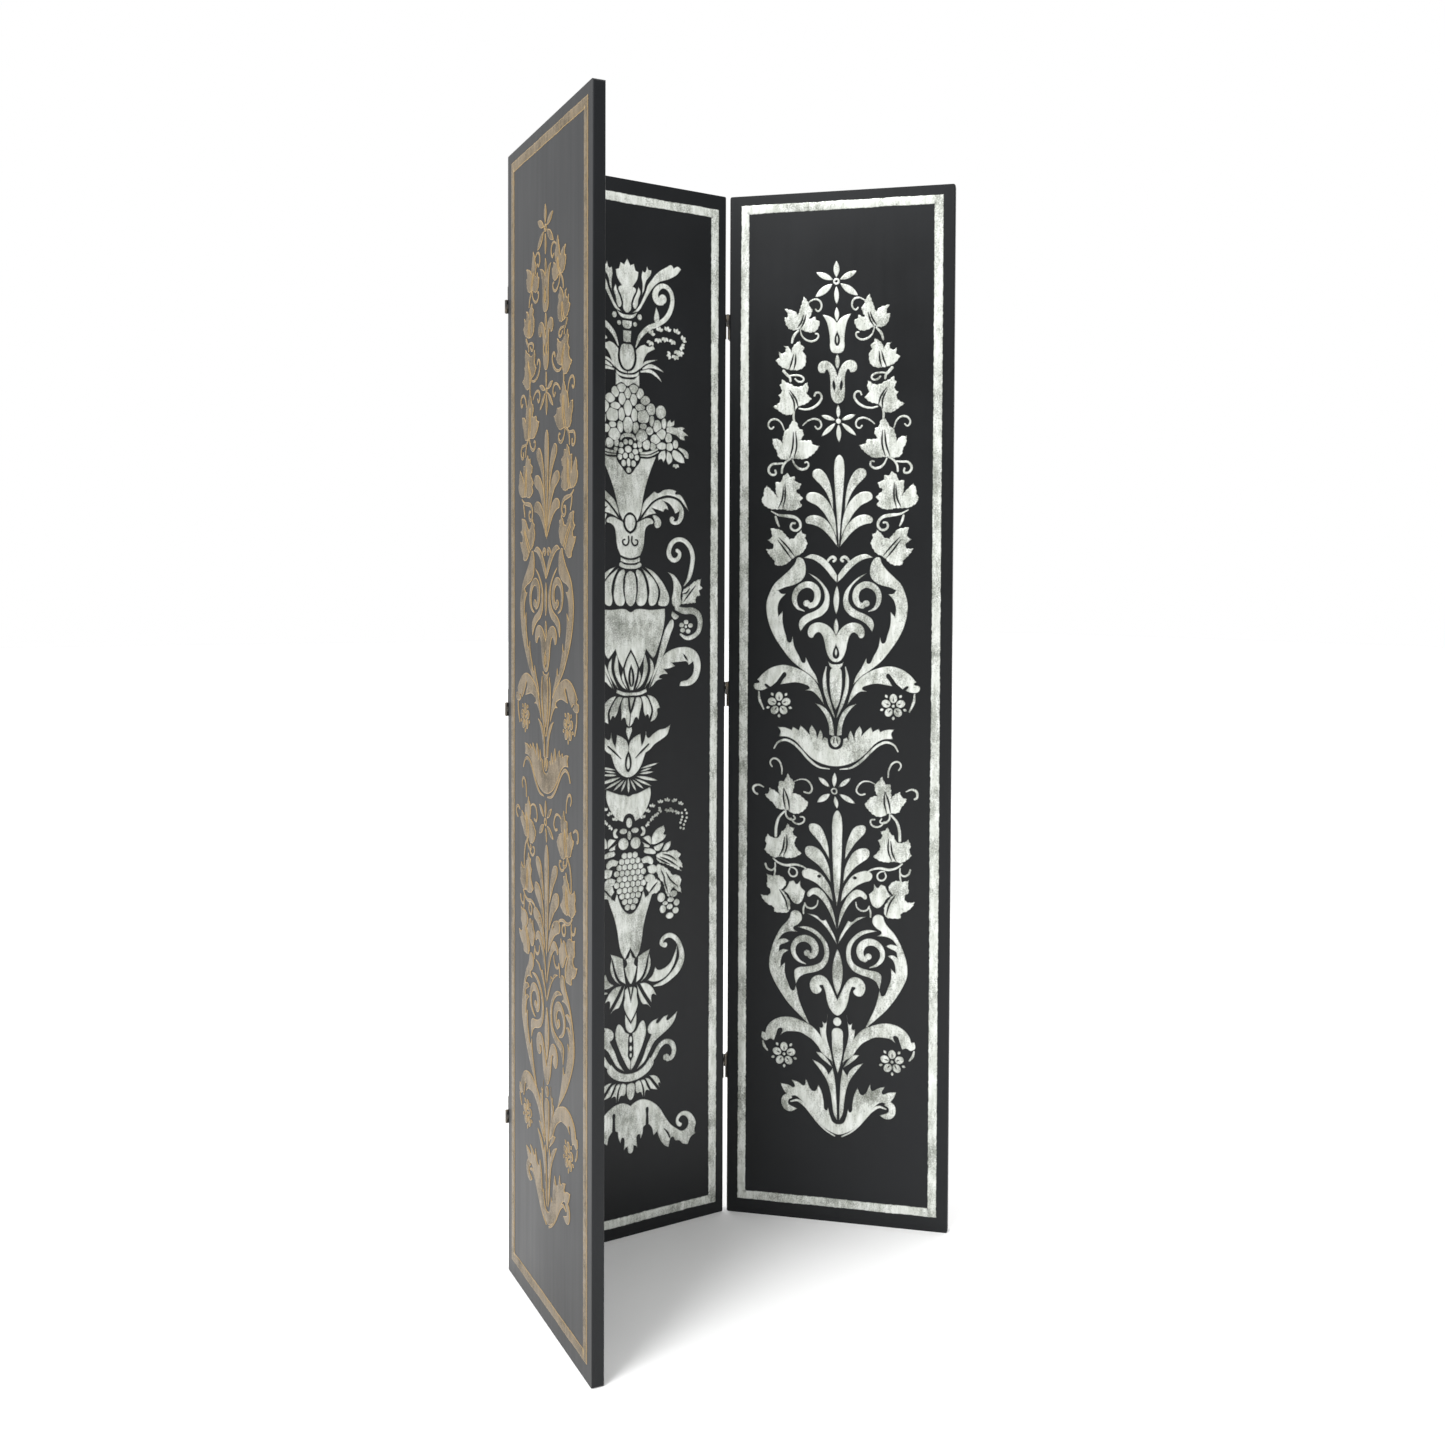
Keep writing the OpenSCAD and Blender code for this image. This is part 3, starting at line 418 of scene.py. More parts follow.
def draw_lower_vine(d):
    """Leaves and tendrils up each side of the lower half, from the top down."""
    d.tendril([(95, 800), (96, 814), (103, 826), (112, 828), (117, 821), (113, 813)], (3, 4, 3))
    d.leaf([
        (90, 736), (101, 737), (110, 740), (114, 748, S), (121, 754), (127, 763, S), (119, 767),
        (117, 775, S), (108, 771), (100, 764, S), (101, 776), (99, 788, S), (92, 788), (84, 802, S),
        (79, 794), (72, 786), (73, 776), (76, 767, S), (66, 765), (57, 758), (50, 751, S),
        (56, 741), (63, 734), (72, 730), (81, 731),
    ], [[(87, 737), (86, 754), (90, 775)], [(94, 738), (94, 756), (91, 775)]])
    d.tendril([
        (72, 788), (62, 792), (50, 791), (42, 783), (40, 774), (46, 768), (55, 770),
    ], (2, 3.8, 3.4))
    d.tendril([(127, 776), (137, 780), (146, 776), (145, 766), (140, 763)], (2.5, 5, 4))
    d.tendril([(93, 736), (92, 726), (85, 720), (76, 721), (79, 727)], (3, 4.4, 3))
    d.tendril([(84, 722), (77, 714), (68, 712), (60, 717), (60, 724), (67, 725)], (3, 4, 3))
    d.tendril([(95, 734), (105, 723), (110, 707), (111, 688)], (4, 5.5, 5.5))
    d.leaf([
        (101, 652), (113, 650), (124, 656), (132, 664, S), (128, 672), (130, 682), (126, 692, S),
        (117, 686), (106, 687), (100, 698, S), (95, 701), (90, 713, S), (84, 706), (77, 705, S),
        (80, 696), (73, 688, S), (77, 678), (73, 669), (64, 659, S), (74, 653), (88, 650),
    ], [[(97, 653), (91, 670), (91, 692)], [(105, 652), (98, 666), (95, 688)]])
    d.tendril([(116, 649), (106, 641), (92, 637), (76, 639), (62, 636), (55, 632)], (3, 5.5, 3))
    d.tendril([
        (85, 634), (78, 633), (72, 627), (74, 619), (82, 618), (87, 625), (85, 632),
    ], (3, 4, 3))
    d.tendril([(112, 641), (112, 632), (118, 627), (126, 630), (130, 639)], (3, 4, 4))
    d.tendril([(112, 633), (112, 625), (114, 616)], (3, 3.6, 3))
    d.sides([
        (73, 568), (82, 575), (89, 586), (97, 591, S), (91, 597), (86, 608, S), (78, 610),
        (73, 604), (66, 611, S), (65, 600), (57, 592, S), (60, 580), (64, 572),
    ])
    d.leaf([
        (88, 553), (100, 551), (113, 552, S), (114, 560), (124, 565), (133, 573), (138, 582, S),
        (126, 581), (121, 585), (120, 592, S), (127, 599), (126, 610), (127, 620, S), (117, 617),
        (104, 618), (94, 611), (92, 602), (100, 593, S), (91, 582), (84, 568),
    ], [[(88, 556), (93, 575), (104, 593)]])
    d.tendril([(34, 577), (36, 568), (44, 562), (54, 564), (58, 571)])
    d.tendril([(57, 570), (60, 561), (60, 551)], (3, 4, 3))


def draw_scrolls(d):
    """The two lyres of curved arms with their spirals."""
    d.sides([
        (0.6, 1156, S), (10, 1170), (21, 1182), (34, 1190), (48, 1193), (62, 1187, S), (46, 1184),
        (31, 1175), (18, 1162), (9, 1151), (0.6, 1143, S),
    ])
    d.tendril([(20, 1177), (17, 1184), (10, 1188), (5, 1184), (9, 1180)], (4, 6, 5))
    d.sides([
        (73, 1187), (77, 1178), (87, 1165), (101, 1152), (113, 1140), (121, 1124), (126, 1106),
        (125, 1086), (120, 1066), (111, 1046), (97, 1025), (81, 1005), (63, 990), (46, 978),
        (31, 963, S), (36, 978), (45, 992), (54, 1010, S), (57, 1000), (67, 1014), (75, 1030),
        (78, 1047, S), (83, 1036), (91, 1052), (96, 1072), (96, 1092, S), (104, 1083, S),
        (105, 1099), (101, 1112), (91, 1123, S), (99, 1123), (105, 1129, S), (94, 1134), (79, 1138),
        (67, 1144), (59, 1153), (57, 1166), (59, 1177), (65, 1186),
    ])
    d.ribbons([
        (57, 1092), (69, 1098), (75, 1111), (73, 1126), (62, 1137), (49, 1139), (37, 1131),
        (34, 1117), (39, 1105), (49, 1101),
    ], (2, 9, 11, 12, 12, 10))
    d.pair(oval((53, 1106), 6.5, 6))
    d.sides([
        (52, 1160, S), (37, 1152), (24, 1140), (14, 1125), (12, 1110), (15, 1096), (26, 1084),
        (42, 1077), (54, 1069), (64, 1056, S), (67, 1068), (64, 1078), (54, 1086), (40, 1092),
        (29, 1099), (22, 1110), (22, 1124), (28, 1138),
    ])

    d.sides([
        (1, 500, S), (8, 511), (17, 525), (29, 538), (42, 547), (53, 552, S), (36, 549), (26, 541),
        (20, 543, S), (13, 530), (5, 515),
    ])
    d.sides([
        (73, 557), (82, 554), (85, 545), (91, 536), (101, 525), (111, 508), (119, 488), (124, 465),
        (123, 447), (115, 428), (103, 408), (88, 388), (70, 370), (49, 351, S), (57, 368),
        (64, 383), (70, 400), (75, 422, S), (80, 412), (90, 428), (95, 444), (95, 462, S),
        (103, 454, S), (102, 467), (98, 477), (89, 484, S), (98, 486), (106, 482, S), (104, 492),
        (96, 496), (86, 501, S), (94, 505), (106, 503, S), (98, 513), (86, 518), (71, 518, S),
        (79, 525), (70, 532), (63, 542), (65, 552),
    ])
    d.ribbons([
        (57, 461), (70, 467), (79, 479), (79, 493), (70, 504), (57, 507), (45, 501), (40, 489),
        (44, 478), (51, 475),
    ], (2, 8, 10, 13, 14, 10))
    d.pair(oval((55, 481), 6, 6))
    d.sides([
        (71, 527, S), (57, 529), (42, 525), (28, 514), (18, 500), (15, 485), (18, 467), (28, 454),
        (43, 447), (58, 443), (68, 437), (75, 424, S), (78, 440), (77, 450), (69, 455), (55, 457),
        (40, 461), (29, 468), (24, 481), (26, 498), (35, 511), (48, 520),
    ])


def rosette(d, centre):
    """Five fat petals round a bead, with a leaf tip in each gap."""
    turns = [90 + 72 * i for i in range(5)]
    for turn in turns:
        a = math.radians(turn)
        at = (centre[0] + 13.5 * math.cos(a), centre[1] + 13.5 * math.sin(a))
        d.pair(
            oval(at, 8.2, 7.0, turn),
            [lens(np.add(centre, (8 * math.cos(a), 8 * math.sin(a))), at, 1.4)],
        )
        g = math.radians(turn + 36)
        near = (centre[0] + 17.5 * math.cos(g), centre[1] + 17.5 * math.sin(g))
        far = (centre[0] + 25 * math.cos(g), centre[1] + 25 * math.sin(g))
        d.pair(lens(near, far, 5.5))
    d.pair(oval(centre, 3, 3))


def draw_fronds(d):
    """Arching fronds with hanging rosettes, the stems between them, and the cups below them."""
    d.whole([(0, 993), (8, 991), (11, 975), (10, 950), (6, 930), (0, 917, S)])
    d.ribbons([(17, 994), (20, 978), (19, 955), (13, 933), (2, 904)], (2, 7, 7.5, 6, 1.5))
    d.sides([
        (21, 927, S), (27, 948), (37, 968), (54, 983), (74, 992), (94, 996), (114, 992), (130, 982),
        (142, 969, S), (138, 965), (148, 961), (146, 952), (133, 950), (123, 954, S), (128, 961),
        (118, 956, S), (108, 964), (99, 976), (92, 983), (89, 979), (95, 970), (100, 961, S),
        (88, 963), (72, 965), (57, 962), (47, 956), (55, 951, S), (43, 950), (32, 941),
    ])
    d.tendril([(139, 948), (138, 935), (130, 916)], (3, 5.5, 3))
    rosette(d, (102, 926))
    d.sides([
        (2, 871, S), (11, 873, S), (12, 888), (18, 906), (28, 920), (37, 929, S), (22, 923),
        (11, 911), (5, 895),
    ])
    bowl = [
        (0, 847), (10, 851), (13, 858), (14, 866, S), (20, 869, S), (23, 864, S), (23, 873),
        (27, 882, S), (31, 873), (33, 867, S), (36, 880), (43, 890, S), (47, 881), (46, 872, S),
        (53, 880), (63, 889, S), (66, 880, S), (77, 886, S), (79, 880, S), (90, 884), (104, 885, S),
        (99, 877), (102, 868, S), (86, 867), (72, 860), (56, 843), (40, 829), (20, 820), (0, 817),
    ]
    d.whole(bowl)
    d.whole([
        (0, 871), (7, 869), (9, 860), (0, 851),
    ], [lens((-4, 858), (-2, 868), 1.3), lens((4, 858), (2, 868), 1.3)])
    d.ribbons([
        (9, 812), (28, 815), (47, 828), (62, 844), (77, 857), (91, 862), (104, 857), (111, 846),
    ], (2, 5, 5, 5, 3))

    d.whole([(0, 350), (8, 347), (10, 328), (9, 305), (5, 285), (0, 268, S)])
    d.sides([
        (17, 374, S), (22, 357), (27, 360, S), (27, 349), (32, 349, S), (30, 335), (26, 322),
        (18, 305), (9, 283, S), (12, 305), (17, 322), (20, 340), (19, 355),
    ])
    d.sides([
        (8, 288, S), (18, 312), (29, 332), (44, 349), (62, 358), (84, 364), (104, 362), (119, 354),
        (128, 343), (131, 333, S), (137, 334, S), (138, 323), (130, 318), (122, 322), (115, 319, S),
        (111, 331), (106, 342), (100, 342), (103, 330, S), (95, 336), (80, 338), (66, 337),
        (56, 332), (45, 325), (35, 314), (28, 303),
    ])
    d.sides([(10, 279, S), (20, 295), (29, 303), (39, 304, S), (31, 295), (20, 286)])
    d.tendril([(136, 318), (133, 308), (127, 300)], (3, 5.5, 3))
    rosette(d, (97, 296))
    d.sides([
        (2, 184, S), (8, 195), (11, 215), (14, 235), (20, 254), (31, 271), (46, 290, S), (32, 284),
        (21, 274), (17, 265, S), (9, 277, S), (6, 262), (4, 245), (3, 225), (2, 205),
    ])
    cup = [
        (0, 177), (9, 180), (14, 190), (18, 206, S), (21, 200), (26, 218), (29, 232), (35, 245, S),
        (43, 233), (58, 254, S), (61, 242), (71, 247), (84, 251, S), (79, 238), (90, 241),
        (104, 243, S), (100, 233), (95, 226), (88, 221), (77, 222), (66, 214), (54, 200), (42, 184),
        (28, 170), (14, 162), (0, 158),
    ]
    d.whole(cup)
    d.sides([
        (90, 225), (100, 220), (103, 208), (97, 196), (85, 193), (74, 199, S), (84, 203), (90, 207),
        (89, 214), (83, 218),
    ])
    d.ribbons([
        (86, 211), (73, 214), (60, 206), (48, 192), (36, 177), (22, 164), (6, 155),
    ], (3, 6, 5.5, 4.5, 3.5, 3))


def candelabrum():
    """Design 1, bent as the brush strayed from the middle line."""
    d = Drawing()
    for part in (
        draw_stars, draw_flowers, draw_palmettes, draw_upper_vine, draw_lower_vine, draw_scrolls,
        draw_fronds,
    ):
        part(d)
    return d.bent([
        (150, 5), (240, 4), (361, 2), (480, 2), (560, 0), (740, 0), (773, -6), (850, -4),
        (1110, -4), (1160, -2), (1200, 0), (1370, 0), (1427, -2), (1500, -4), (1570, -5),
        (1672, -7),
    ])


# ---------------------------------------------------------------- design 2, on the centre panel


def blossom(d, centre, reach, turn):
    """Three petals fanning from a point, the middle one towards turn degrees."""
    for step in (-46, 0, 46):
        a = math.radians(turn + step)
        way = np.array([math.cos(a), math.sin(a)])
        start, tip = np.add(centre, way * 0.8), np.add(centre, way * reach)
        d.pair(lens(start, tip, reach * 0.62), top=BLOSSOM_HEIGHT)


def draw_crest(d):
    """The leaf crest at the top with its fronds, scrolls and strings of blossom."""
    d.whole([
        (0, 1696, S), (6, 1685, S), (13, 1688, S), (16, 1677, S), (22, 1675, S), (20, 1663),
        (11, 1649, S), (17, 1645), (12, 1632), (8, 1620), (8, 1611), (5, 1606), (0, 1603),
    ])
    d.sides([
        (22, 1650, S), (19, 1640), (13, 1627), (11, 1616), (15, 1611), (20, 1617), (22, 1628),
        (26, 1641),
    ])
    d.sides([
        (29, 1637, S), (30, 1655), (28, 1668), (30, 1679, S), (34, 1676), (39, 1687, S), (42, 1681),
        (48, 1682, S), (46, 1673), (38, 1663), (35, 1655, S), (33, 1645),
    ])
    d.sides([
        (10, 1604, S), (22, 1608), (30, 1619), (40, 1636), (52, 1653), (64, 1663), (80, 1669),
        (98, 1679), (107, 1690, S), (100, 1694), (92, 1690, S), (87, 1695), (77, 1690), (64, 1682),
        (55, 1674), (48, 1665), (40, 1654), (37, 1645, S), (31, 1632), (25, 1620), (18, 1611),
    ])
    d.whole([(0, 1600), (10, 1601), (20, 1606, S), (15, 1598), (8, 1594), (0, 1593)])
    d.whole([(0, 1590), (9, 1590, S), (9, 1582), (5, 1577), (0, 1576)])
    d.pair(oval((24.5, 1598), 4.6, 5.4))
    d.pair(oval((15.5, 1585), 4.2, 4.2))
    d.whole([(0, 1573), (8, 1573, S), (7, 1554, S), (0, 1553)])
    d.ribbons([
        (17, 1546), (26, 1566), (42, 1581), (61, 1590), (77, 1602), (87, 1620), (89, 1639),
        (83, 1652), (71, 1657), (59, 1650), (55, 1638), (61, 1629), (70, 1630),
    ], (2, 8, 10, 9, 9.5, 9, 8, 9, 12, 13))
    d.pair(oval((70, 1634), 8, 8.5))
    d.sides([(57, 1619, S), (62, 1608), (63, 1597), (59, 1590), (53, 1596), (54, 1607)])
    string = [
        (46, 1570, 60), (63, 1577, 80), (61, 1566, 270), (79, 1579, 75), (75, 1569, 265),
        (97, 1577, 70), (91, 1566, 250), (109, 1566, 40), (106, 1557, 330), (100, 1549, 270),
        (104, 1546, 300), (96, 1540, 260), (87, 1539, 190), (47, 1560, 250),
    ]
    for u, v, turn in string:
        blossom(d, (u, v), 10, turn)


def draw_neck(d):
    """The tulip, its collar and the short neck above the fruit."""
    d.whole([(0, 1550), (9, 1549), (14, 1536), (13, 1520), (7, 1509), (0, 1506)])
    d.sides([
        (0.6, 1500, S), (12, 1502), (22, 1508), (29, 1516), (33, 1527), (39, 1537), (47, 1542),
        (55, 1546, S), (51, 1552, S), (42, 1549), (34, 1552, S), (26, 1549), (17, 1541, S),
        (18, 1526), (15, 1514), (9, 1506), (0.6, 1503.4, S),
    ])
    d.whole([(0, 1498), (12, 1499), (23, 1505, S), (21, 1498), (11, 1494), (0, 1493)])
    d.tendril([(23, 1510), (36, 1521), (59, 1528)], (3, 5, 1))
    d.tendril([(30, 1510), (45, 1516), (60, 1513), (71, 1508)], (3, 7.5, 5.5, 1))
    d.tendril([(26, 1505), (45, 1507), (58, 1500), (67, 1491)], (3, 6.5, 5.5, 1))
    d.whole([
        (0, 1490), (12, 1491), (23, 1500, S), (23, 1478, S), (17, 1482, S), (12, 1484), (0, 1478),
    ])


def draw_fruit(d):
    """The heap of fruit over the rim, with leaves to each side and berries at the middle."""
    d.heap([
        (0, 1466, 6, 8), (0, 1441, 7, 12), (0, 1412, 8.5, 12), (12, 1474, 8, 6.5),
        (24, 1467, 6.5, 8), (11, 1456, 6, 9), (34, 1456, 8, 7), (24, 1443, 8, 5.5),
        (12.5, 1429, 5.6, 10), (45, 1441, 7.5, 9.5), (65, 1438, 8.5, 10), (30, 1428, 10.5, 10.5),
        (47, 1422, 4.2, 9), (57.5, 1413, 7.5, 9.5), (71, 1419, 4.2, 8.5), (15, 1408, 5.2, 9),
        (30, 1411, 6, 4.8), (42, 1404, 6.5, 6), (26.5, 1395, 9.8, 9.5), (65.5, 1400, 8.5, 8),
        (54, 1390, 8.5, 7.5), (80, 1394, 6, 7.5), (66, 1379.5, 9, 5.4), (36, 1380, 6.6, 7.6),
        (48.5, 1378, 5, 6.2), (82, 1379, 6.2, 6.2), (94, 1384, 4.8, 6.5),
    ], swell=1.22)
    d.whole([(0, 1398), (10, 1396), (16, 1388), (14, 1384, S), (8, 1390), (0, 1391)])
    d.heap([
        (4.8, 1382.5, 4.2, 4.4), (13.5, 1377, 4, 4.2), (22.5, 1380, 4.4, 6), (14, 1366.5, 5.2, 4.8),
        (6, 1359, 4.4, 4.8), (16.5, 1356.5, 4.2, 4.8), (9.5, 1346, 4.4, 5.2),
        (24, 1369.5, 3.6, 3.4), (0, 1370, 6, 5.4), (0, 1347.5, 3.6, 7), (0, 1334.5, 4.4, 4.4),
    ], swell=1.12)
    d.ribbons([(24, 1364.5), (40, 1366), (58, 1373.5)], (4.2, 5, 3.5))
    d.ribbons([(24, 1360), (42, 1361), (60, 1369)], (2.4, 3.2, 2.4))
    d.sides([
        (76, 1412, S), (84, 1414), (95, 1413), (106, 1415), (114, 1413, S), (109, 1409),
        (113, 1406), (121, 1400, S), (112, 1399), (114, 1392, S), (105, 1393), (97, 1399),
        (86, 1402), (76, 1404, S),
    ])
    d.sides([
        (76, 1413, S), (78, 1421), (84, 1427, S), (86, 1422), (92, 1426, S), (91, 1417), (84, 1414),
    ])
    d.sides([
        (73, 1372, S), (74, 1360), (69, 1351, S), (65, 1357), (59, 1354, S), (59, 1362), (65, 1370),
    ])
    d.sides([(77, 1372, S), (85, 1366), (87, 1355), (79, 1347, S), (75, 1356)])
    d.sides([
        (89, 1373), (100, 1371), (110, 1361), (112, 1352, S), (104, 1352), (94, 1356), (87, 1364),
    ])
    d.sides([
        (99, 1377), (110, 1377), (120, 1369), (120, 1360, S), (114, 1361), (110, 1368), (102, 1374),
    ])
    blossom(d, (94, 1350), 9, 270)


def draw_fruit_vase(d):
    """The tapered vase under the fruit, its arched leaves, and the small curled vase."""
    d.whole([
        (0, 1327), (6, 1330), (13, 1339), (21, 1348), (24, 1356, S), (38, 1356), (55, 1361, S),
        (46, 1342), (36, 1318), (28, 1293), (21, 1262), (14, 1247, S), (9, 1257), (0, 1262),
    ])
    d.sides([
        (21, 1255, S), (24, 1270), (30, 1283), (40, 1292), (49, 1300, S), (56, 1297), (68, 1303),
        (81, 1305), (95, 1302, S), (91, 1298), (101, 1296), (110, 1285), (118, 1268, S),
        (109, 1278), (101, 1287), (90, 1292), (75, 1294), (60, 1290), (45, 1282), (33, 1270),
    ])
    d.sides([
        (22, 1251, S), (35, 1268), (50, 1282), (65, 1288), (80, 1290), (93, 1287), (103, 1279),
        (108, 1266), (105, 1253), (98, 1245), (88, 1243), (80, 1247), (79, 1255), (84, 1258),
        (89, 1254, S), (87, 1250), (94, 1251), (97, 1258), (99, 1268, S), (95, 1265), (90, 1263, S),
        (86, 1271), (78, 1280), (67, 1284, S), (74, 1276), (77, 1268, S), (70, 1270), (66, 1265, S),
        (56, 1268), (44, 1271, S), (52, 1262, S), (36, 1258),
    ])
    d.sides([(45, 1258), (54, 1257), (61, 1249), (60, 1240), (53, 1236), (48, 1240), (48, 1249)])
    d.whole([(0, 1258), (7, 1255), (10, 1244), (5, 1232), (0, 1229, S)])
    volute = ribbon([
        (3.4, 1221), (3.4, 1210), (8, 1205), (14, 1208), (14, 1214), (10, 1215),
    ], (2, 2.6, 2.8, 2))
    d.whole([
        (0, 1225, S), (7, 1229), (12, 1236), (14, 1245, S), (22, 1249), (32, 1253), (42, 1252),
        (46, 1245), (38, 1242), (31, 1236), (28, 1222), (27, 1210), (24, 1198), (19, 1188, S),
        (8, 1184), (0, 1183),
    ], [volute, flipped(volute)])
    d.whole([(0, 1180), (10, 1181), (19, 1185, S), (19, 1178, S), (10, 1175), (0, 1174)])
    d.whole([(0, 1171.5), (12, 1172.5), (19, 1176), (22, 1171), (14, 1166), (0, 1164.5)])


def draw_urn(d):
    """The ribbed dome and body of the urn, its handles, horns and side scrolls."""
    d.whole([(0, 1161), (7, 1157), (11, 1140), (11, 1120), (7, 1105), (0, 1100)])
    d.sides([
        (12, 1163), (20, 1161), (28, 1148), (32, 1130), (32, 1112), (26, 1102), (16, 1101),
        (11.5, 1107), (14, 1125), (14, 1146),
    ])
    d.sides([
        (23, 1166, S), (34, 1158), (46, 1147), (54, 1132), (54, 1116), (48, 1103), (39, 1101),
        (35.5, 1108), (37, 1128), (33, 1147),
    ])
    d.sides([
        (29, 1168, S), (43, 1162), (56, 1151), (69, 1134), (77, 1114), (73, 1102), (64, 1100),
        (55, 1103), (58, 1116), (58, 1130), (51, 1143), (40, 1157),
    ])
    d.whole([
        (0, 1090), (10, 1095), (40, 1094), (68, 1096, S), (68, 1080), (64, 1058), (57, 1036),
        (49, 1016, S), (44, 1009, S), (38, 1016), (30, 1026, S), (24, 1008), (16, 993, S),
        (10, 1008), (0, 1026, S),
    ])
    d.whole([
        (0, 1021, S), (7, 1009), (13, 993, S), (11, 980), (6, 965), (3, 955, S), (0, 955),
    ], [closed_half([(0, 999, S), (5, 985), (5, 968), (0, 961)])])
    d.middle(lens((0, 960), (0, 992), 4))
    d.sides([(16, 989, S), (19, 978), (14, 965), (7, 956, S), (12, 970)])
    d.sides([
        (27, 1020, S), (31, 1008), (33, 992), (28, 975), (18, 961), (10, 956, S), (20, 975),
        (24, 990), (25, 1005),
    ])
    d.sides([(37, 1011, S), (43, 1003), (45, 990), (38, 974), (26, 958, S), (34, 976), (38, 990)])
    d.sides([
        (83, 1077), (86, 1070), (79, 1050), (71, 1029), (62, 1008), (52, 990), (43, 974),
        (34, 957, S), (42, 981), (52, 1006), (58, 1028), (65, 1052), (74, 1069),
    ])
    d.sides([(83, 1092, S), (81, 1084), (87, 1077), (93, 1078), (97, 1083, S), (90, 1087)])
    d.sides([
        (74, 1160, S), (85, 1156), (95, 1146), (102, 1132), (100, 1118), (101, 1105), (93, 1098),
        (84, 1102), (82, 1113), (85, 1127), (85, 1142), (81, 1153),
    ])
    d.ribbons([
        (90, 1097), (108, 1092), (124, 1092), (136, 1085), (140, 1070), (136, 1055), (124, 1046),
        (111, 1044), (99, 1051),
    ], (8, 12, 12, 11, 9.5, 8.5, 8, 4))
    for u, v in [(102, 1067), (111, 1072), (120, 1066), (115, 1056), (104, 1058)]:
        d.pair(oval((u, v), 5.2, 4.4))
    d.pair(oval((110.5, 1064), 3, 3))
    d.ribbons([
        (107, 1136), (117, 1150), (123, 1170), (125, 1190), (118, 1207), (104, 1217), (90, 1216),
        (79, 1205), (77, 1190), (86, 1181), (96, 1185), (98, 1194), (92, 1199),
    ], (2, 8, 9, 9, 9, 8, 9, 9.5, 8, 7))
    d.leaf([
        (101, 1104, S), (104, 1118), (106, 1129), (118, 1136), (127, 1143), (143, 1149, S),
        (140, 1138), (145, 1132, S), (138, 1127), (141, 1120, S), (132, 1116), (131, 1107, S),
        (118, 1105),
    ], [[(106, 1108), (117, 1121), (131, 1137)], [(104, 1122), (112, 1124), (119, 1132)]])
    d.sides([
        (37, 959, S), (46, 978), (56, 1000), (66, 1015), (81, 1024), (98, 1028), (118, 1027),
        (133, 1018), (140, 1002), (139, 984), (131, 968), (118, 960), (96, 959, S), (98, 966),
        (112, 970), (122, 978), (126, 990), (125, 1002, S), (116, 996, S), (112, 1002), (98, 1002),
        (81, 1001, S), (88, 995, S), (76, 991), (65, 990, S), (73, 981, S), (63, 981), (55, 976),
        (62, 973, S), (50, 970), (42, 962),
    ], [lens((105, 1016), (114, 1004), 3.4)])


def draw_drape(d):
    """The tie under the urn, its drooping petals and the tulip below."""
    d.whole([(0, 951), (15, 952), (29, 957, S), (30, 951, S), (16, 946), (0, 945.5)])
    d.whole([(0, 943), (5, 942, S), (0, 921, S)])
    d.sides([
        (8, 942, S), (16, 942), (20, 930), (18, 916), (17, 903, S), (12, 908), (6, 897),
        (0.6, 891, S), (0.6, 914, S), (4, 922),
    ])
    d.sides([
        (18, 943, S), (26, 944), (37, 930), (41, 916), (38, 904, S), (34, 912), (30, 908, S),
        (26, 916), (23, 930),
    ])
    d.sides([
        (30, 946, S), (39, 944), (50, 936), (58, 922, S), (53, 921), (54, 912), (50, 903),
        (41, 898, S), (43, 908), (44, 919), (39, 931),
    ])
    d.whole([(0, 890), (5, 891, S), (6, 884, S), (0, 868, S)])
    vein = ribbon([(14, 837), (26, 848), (40, 860)], (0.6, 3, 2))
    d.whole([
        (0, 857, S), (3, 866), (12, 874), (23, 879, S), (24, 869), (26, 858, S), (31, 868),
        (34, 883, S), (38, 871), (48, 877), (60, 884), (72, 886), (82, 892, S), (77, 875),
        (66, 867), (52, 859), (41, 849), (34, 845, S), (31, 837), (26, 824), (16, 811), (6, 805),
        (0, 804),
    ], [closed_half([(0, 850, S), (5, 839), (6, 825), (3, 816), (0, 813)]), vein, flipped(vein)])
    d.whole([(0, 844, S), (2.5, 834), (3, 823), (0, 818)])
    for a, b, width in [
        ((24, 818), (61, 826), 4.2), ((24, 813), (47, 818), 3.6), ((22, 809), (50, 811), 4.4),
        ((16, 805), (58, 795), 6), ((13, 801), (46, 786), 4.6), ((8, 800), (30, 782), 4.6),
        ((4, 800), (15, 779), 4.4),
    ]:
        d.pair(lens(a, b, width))
    d.middle(lens((0, 803), (0, 776), 5))


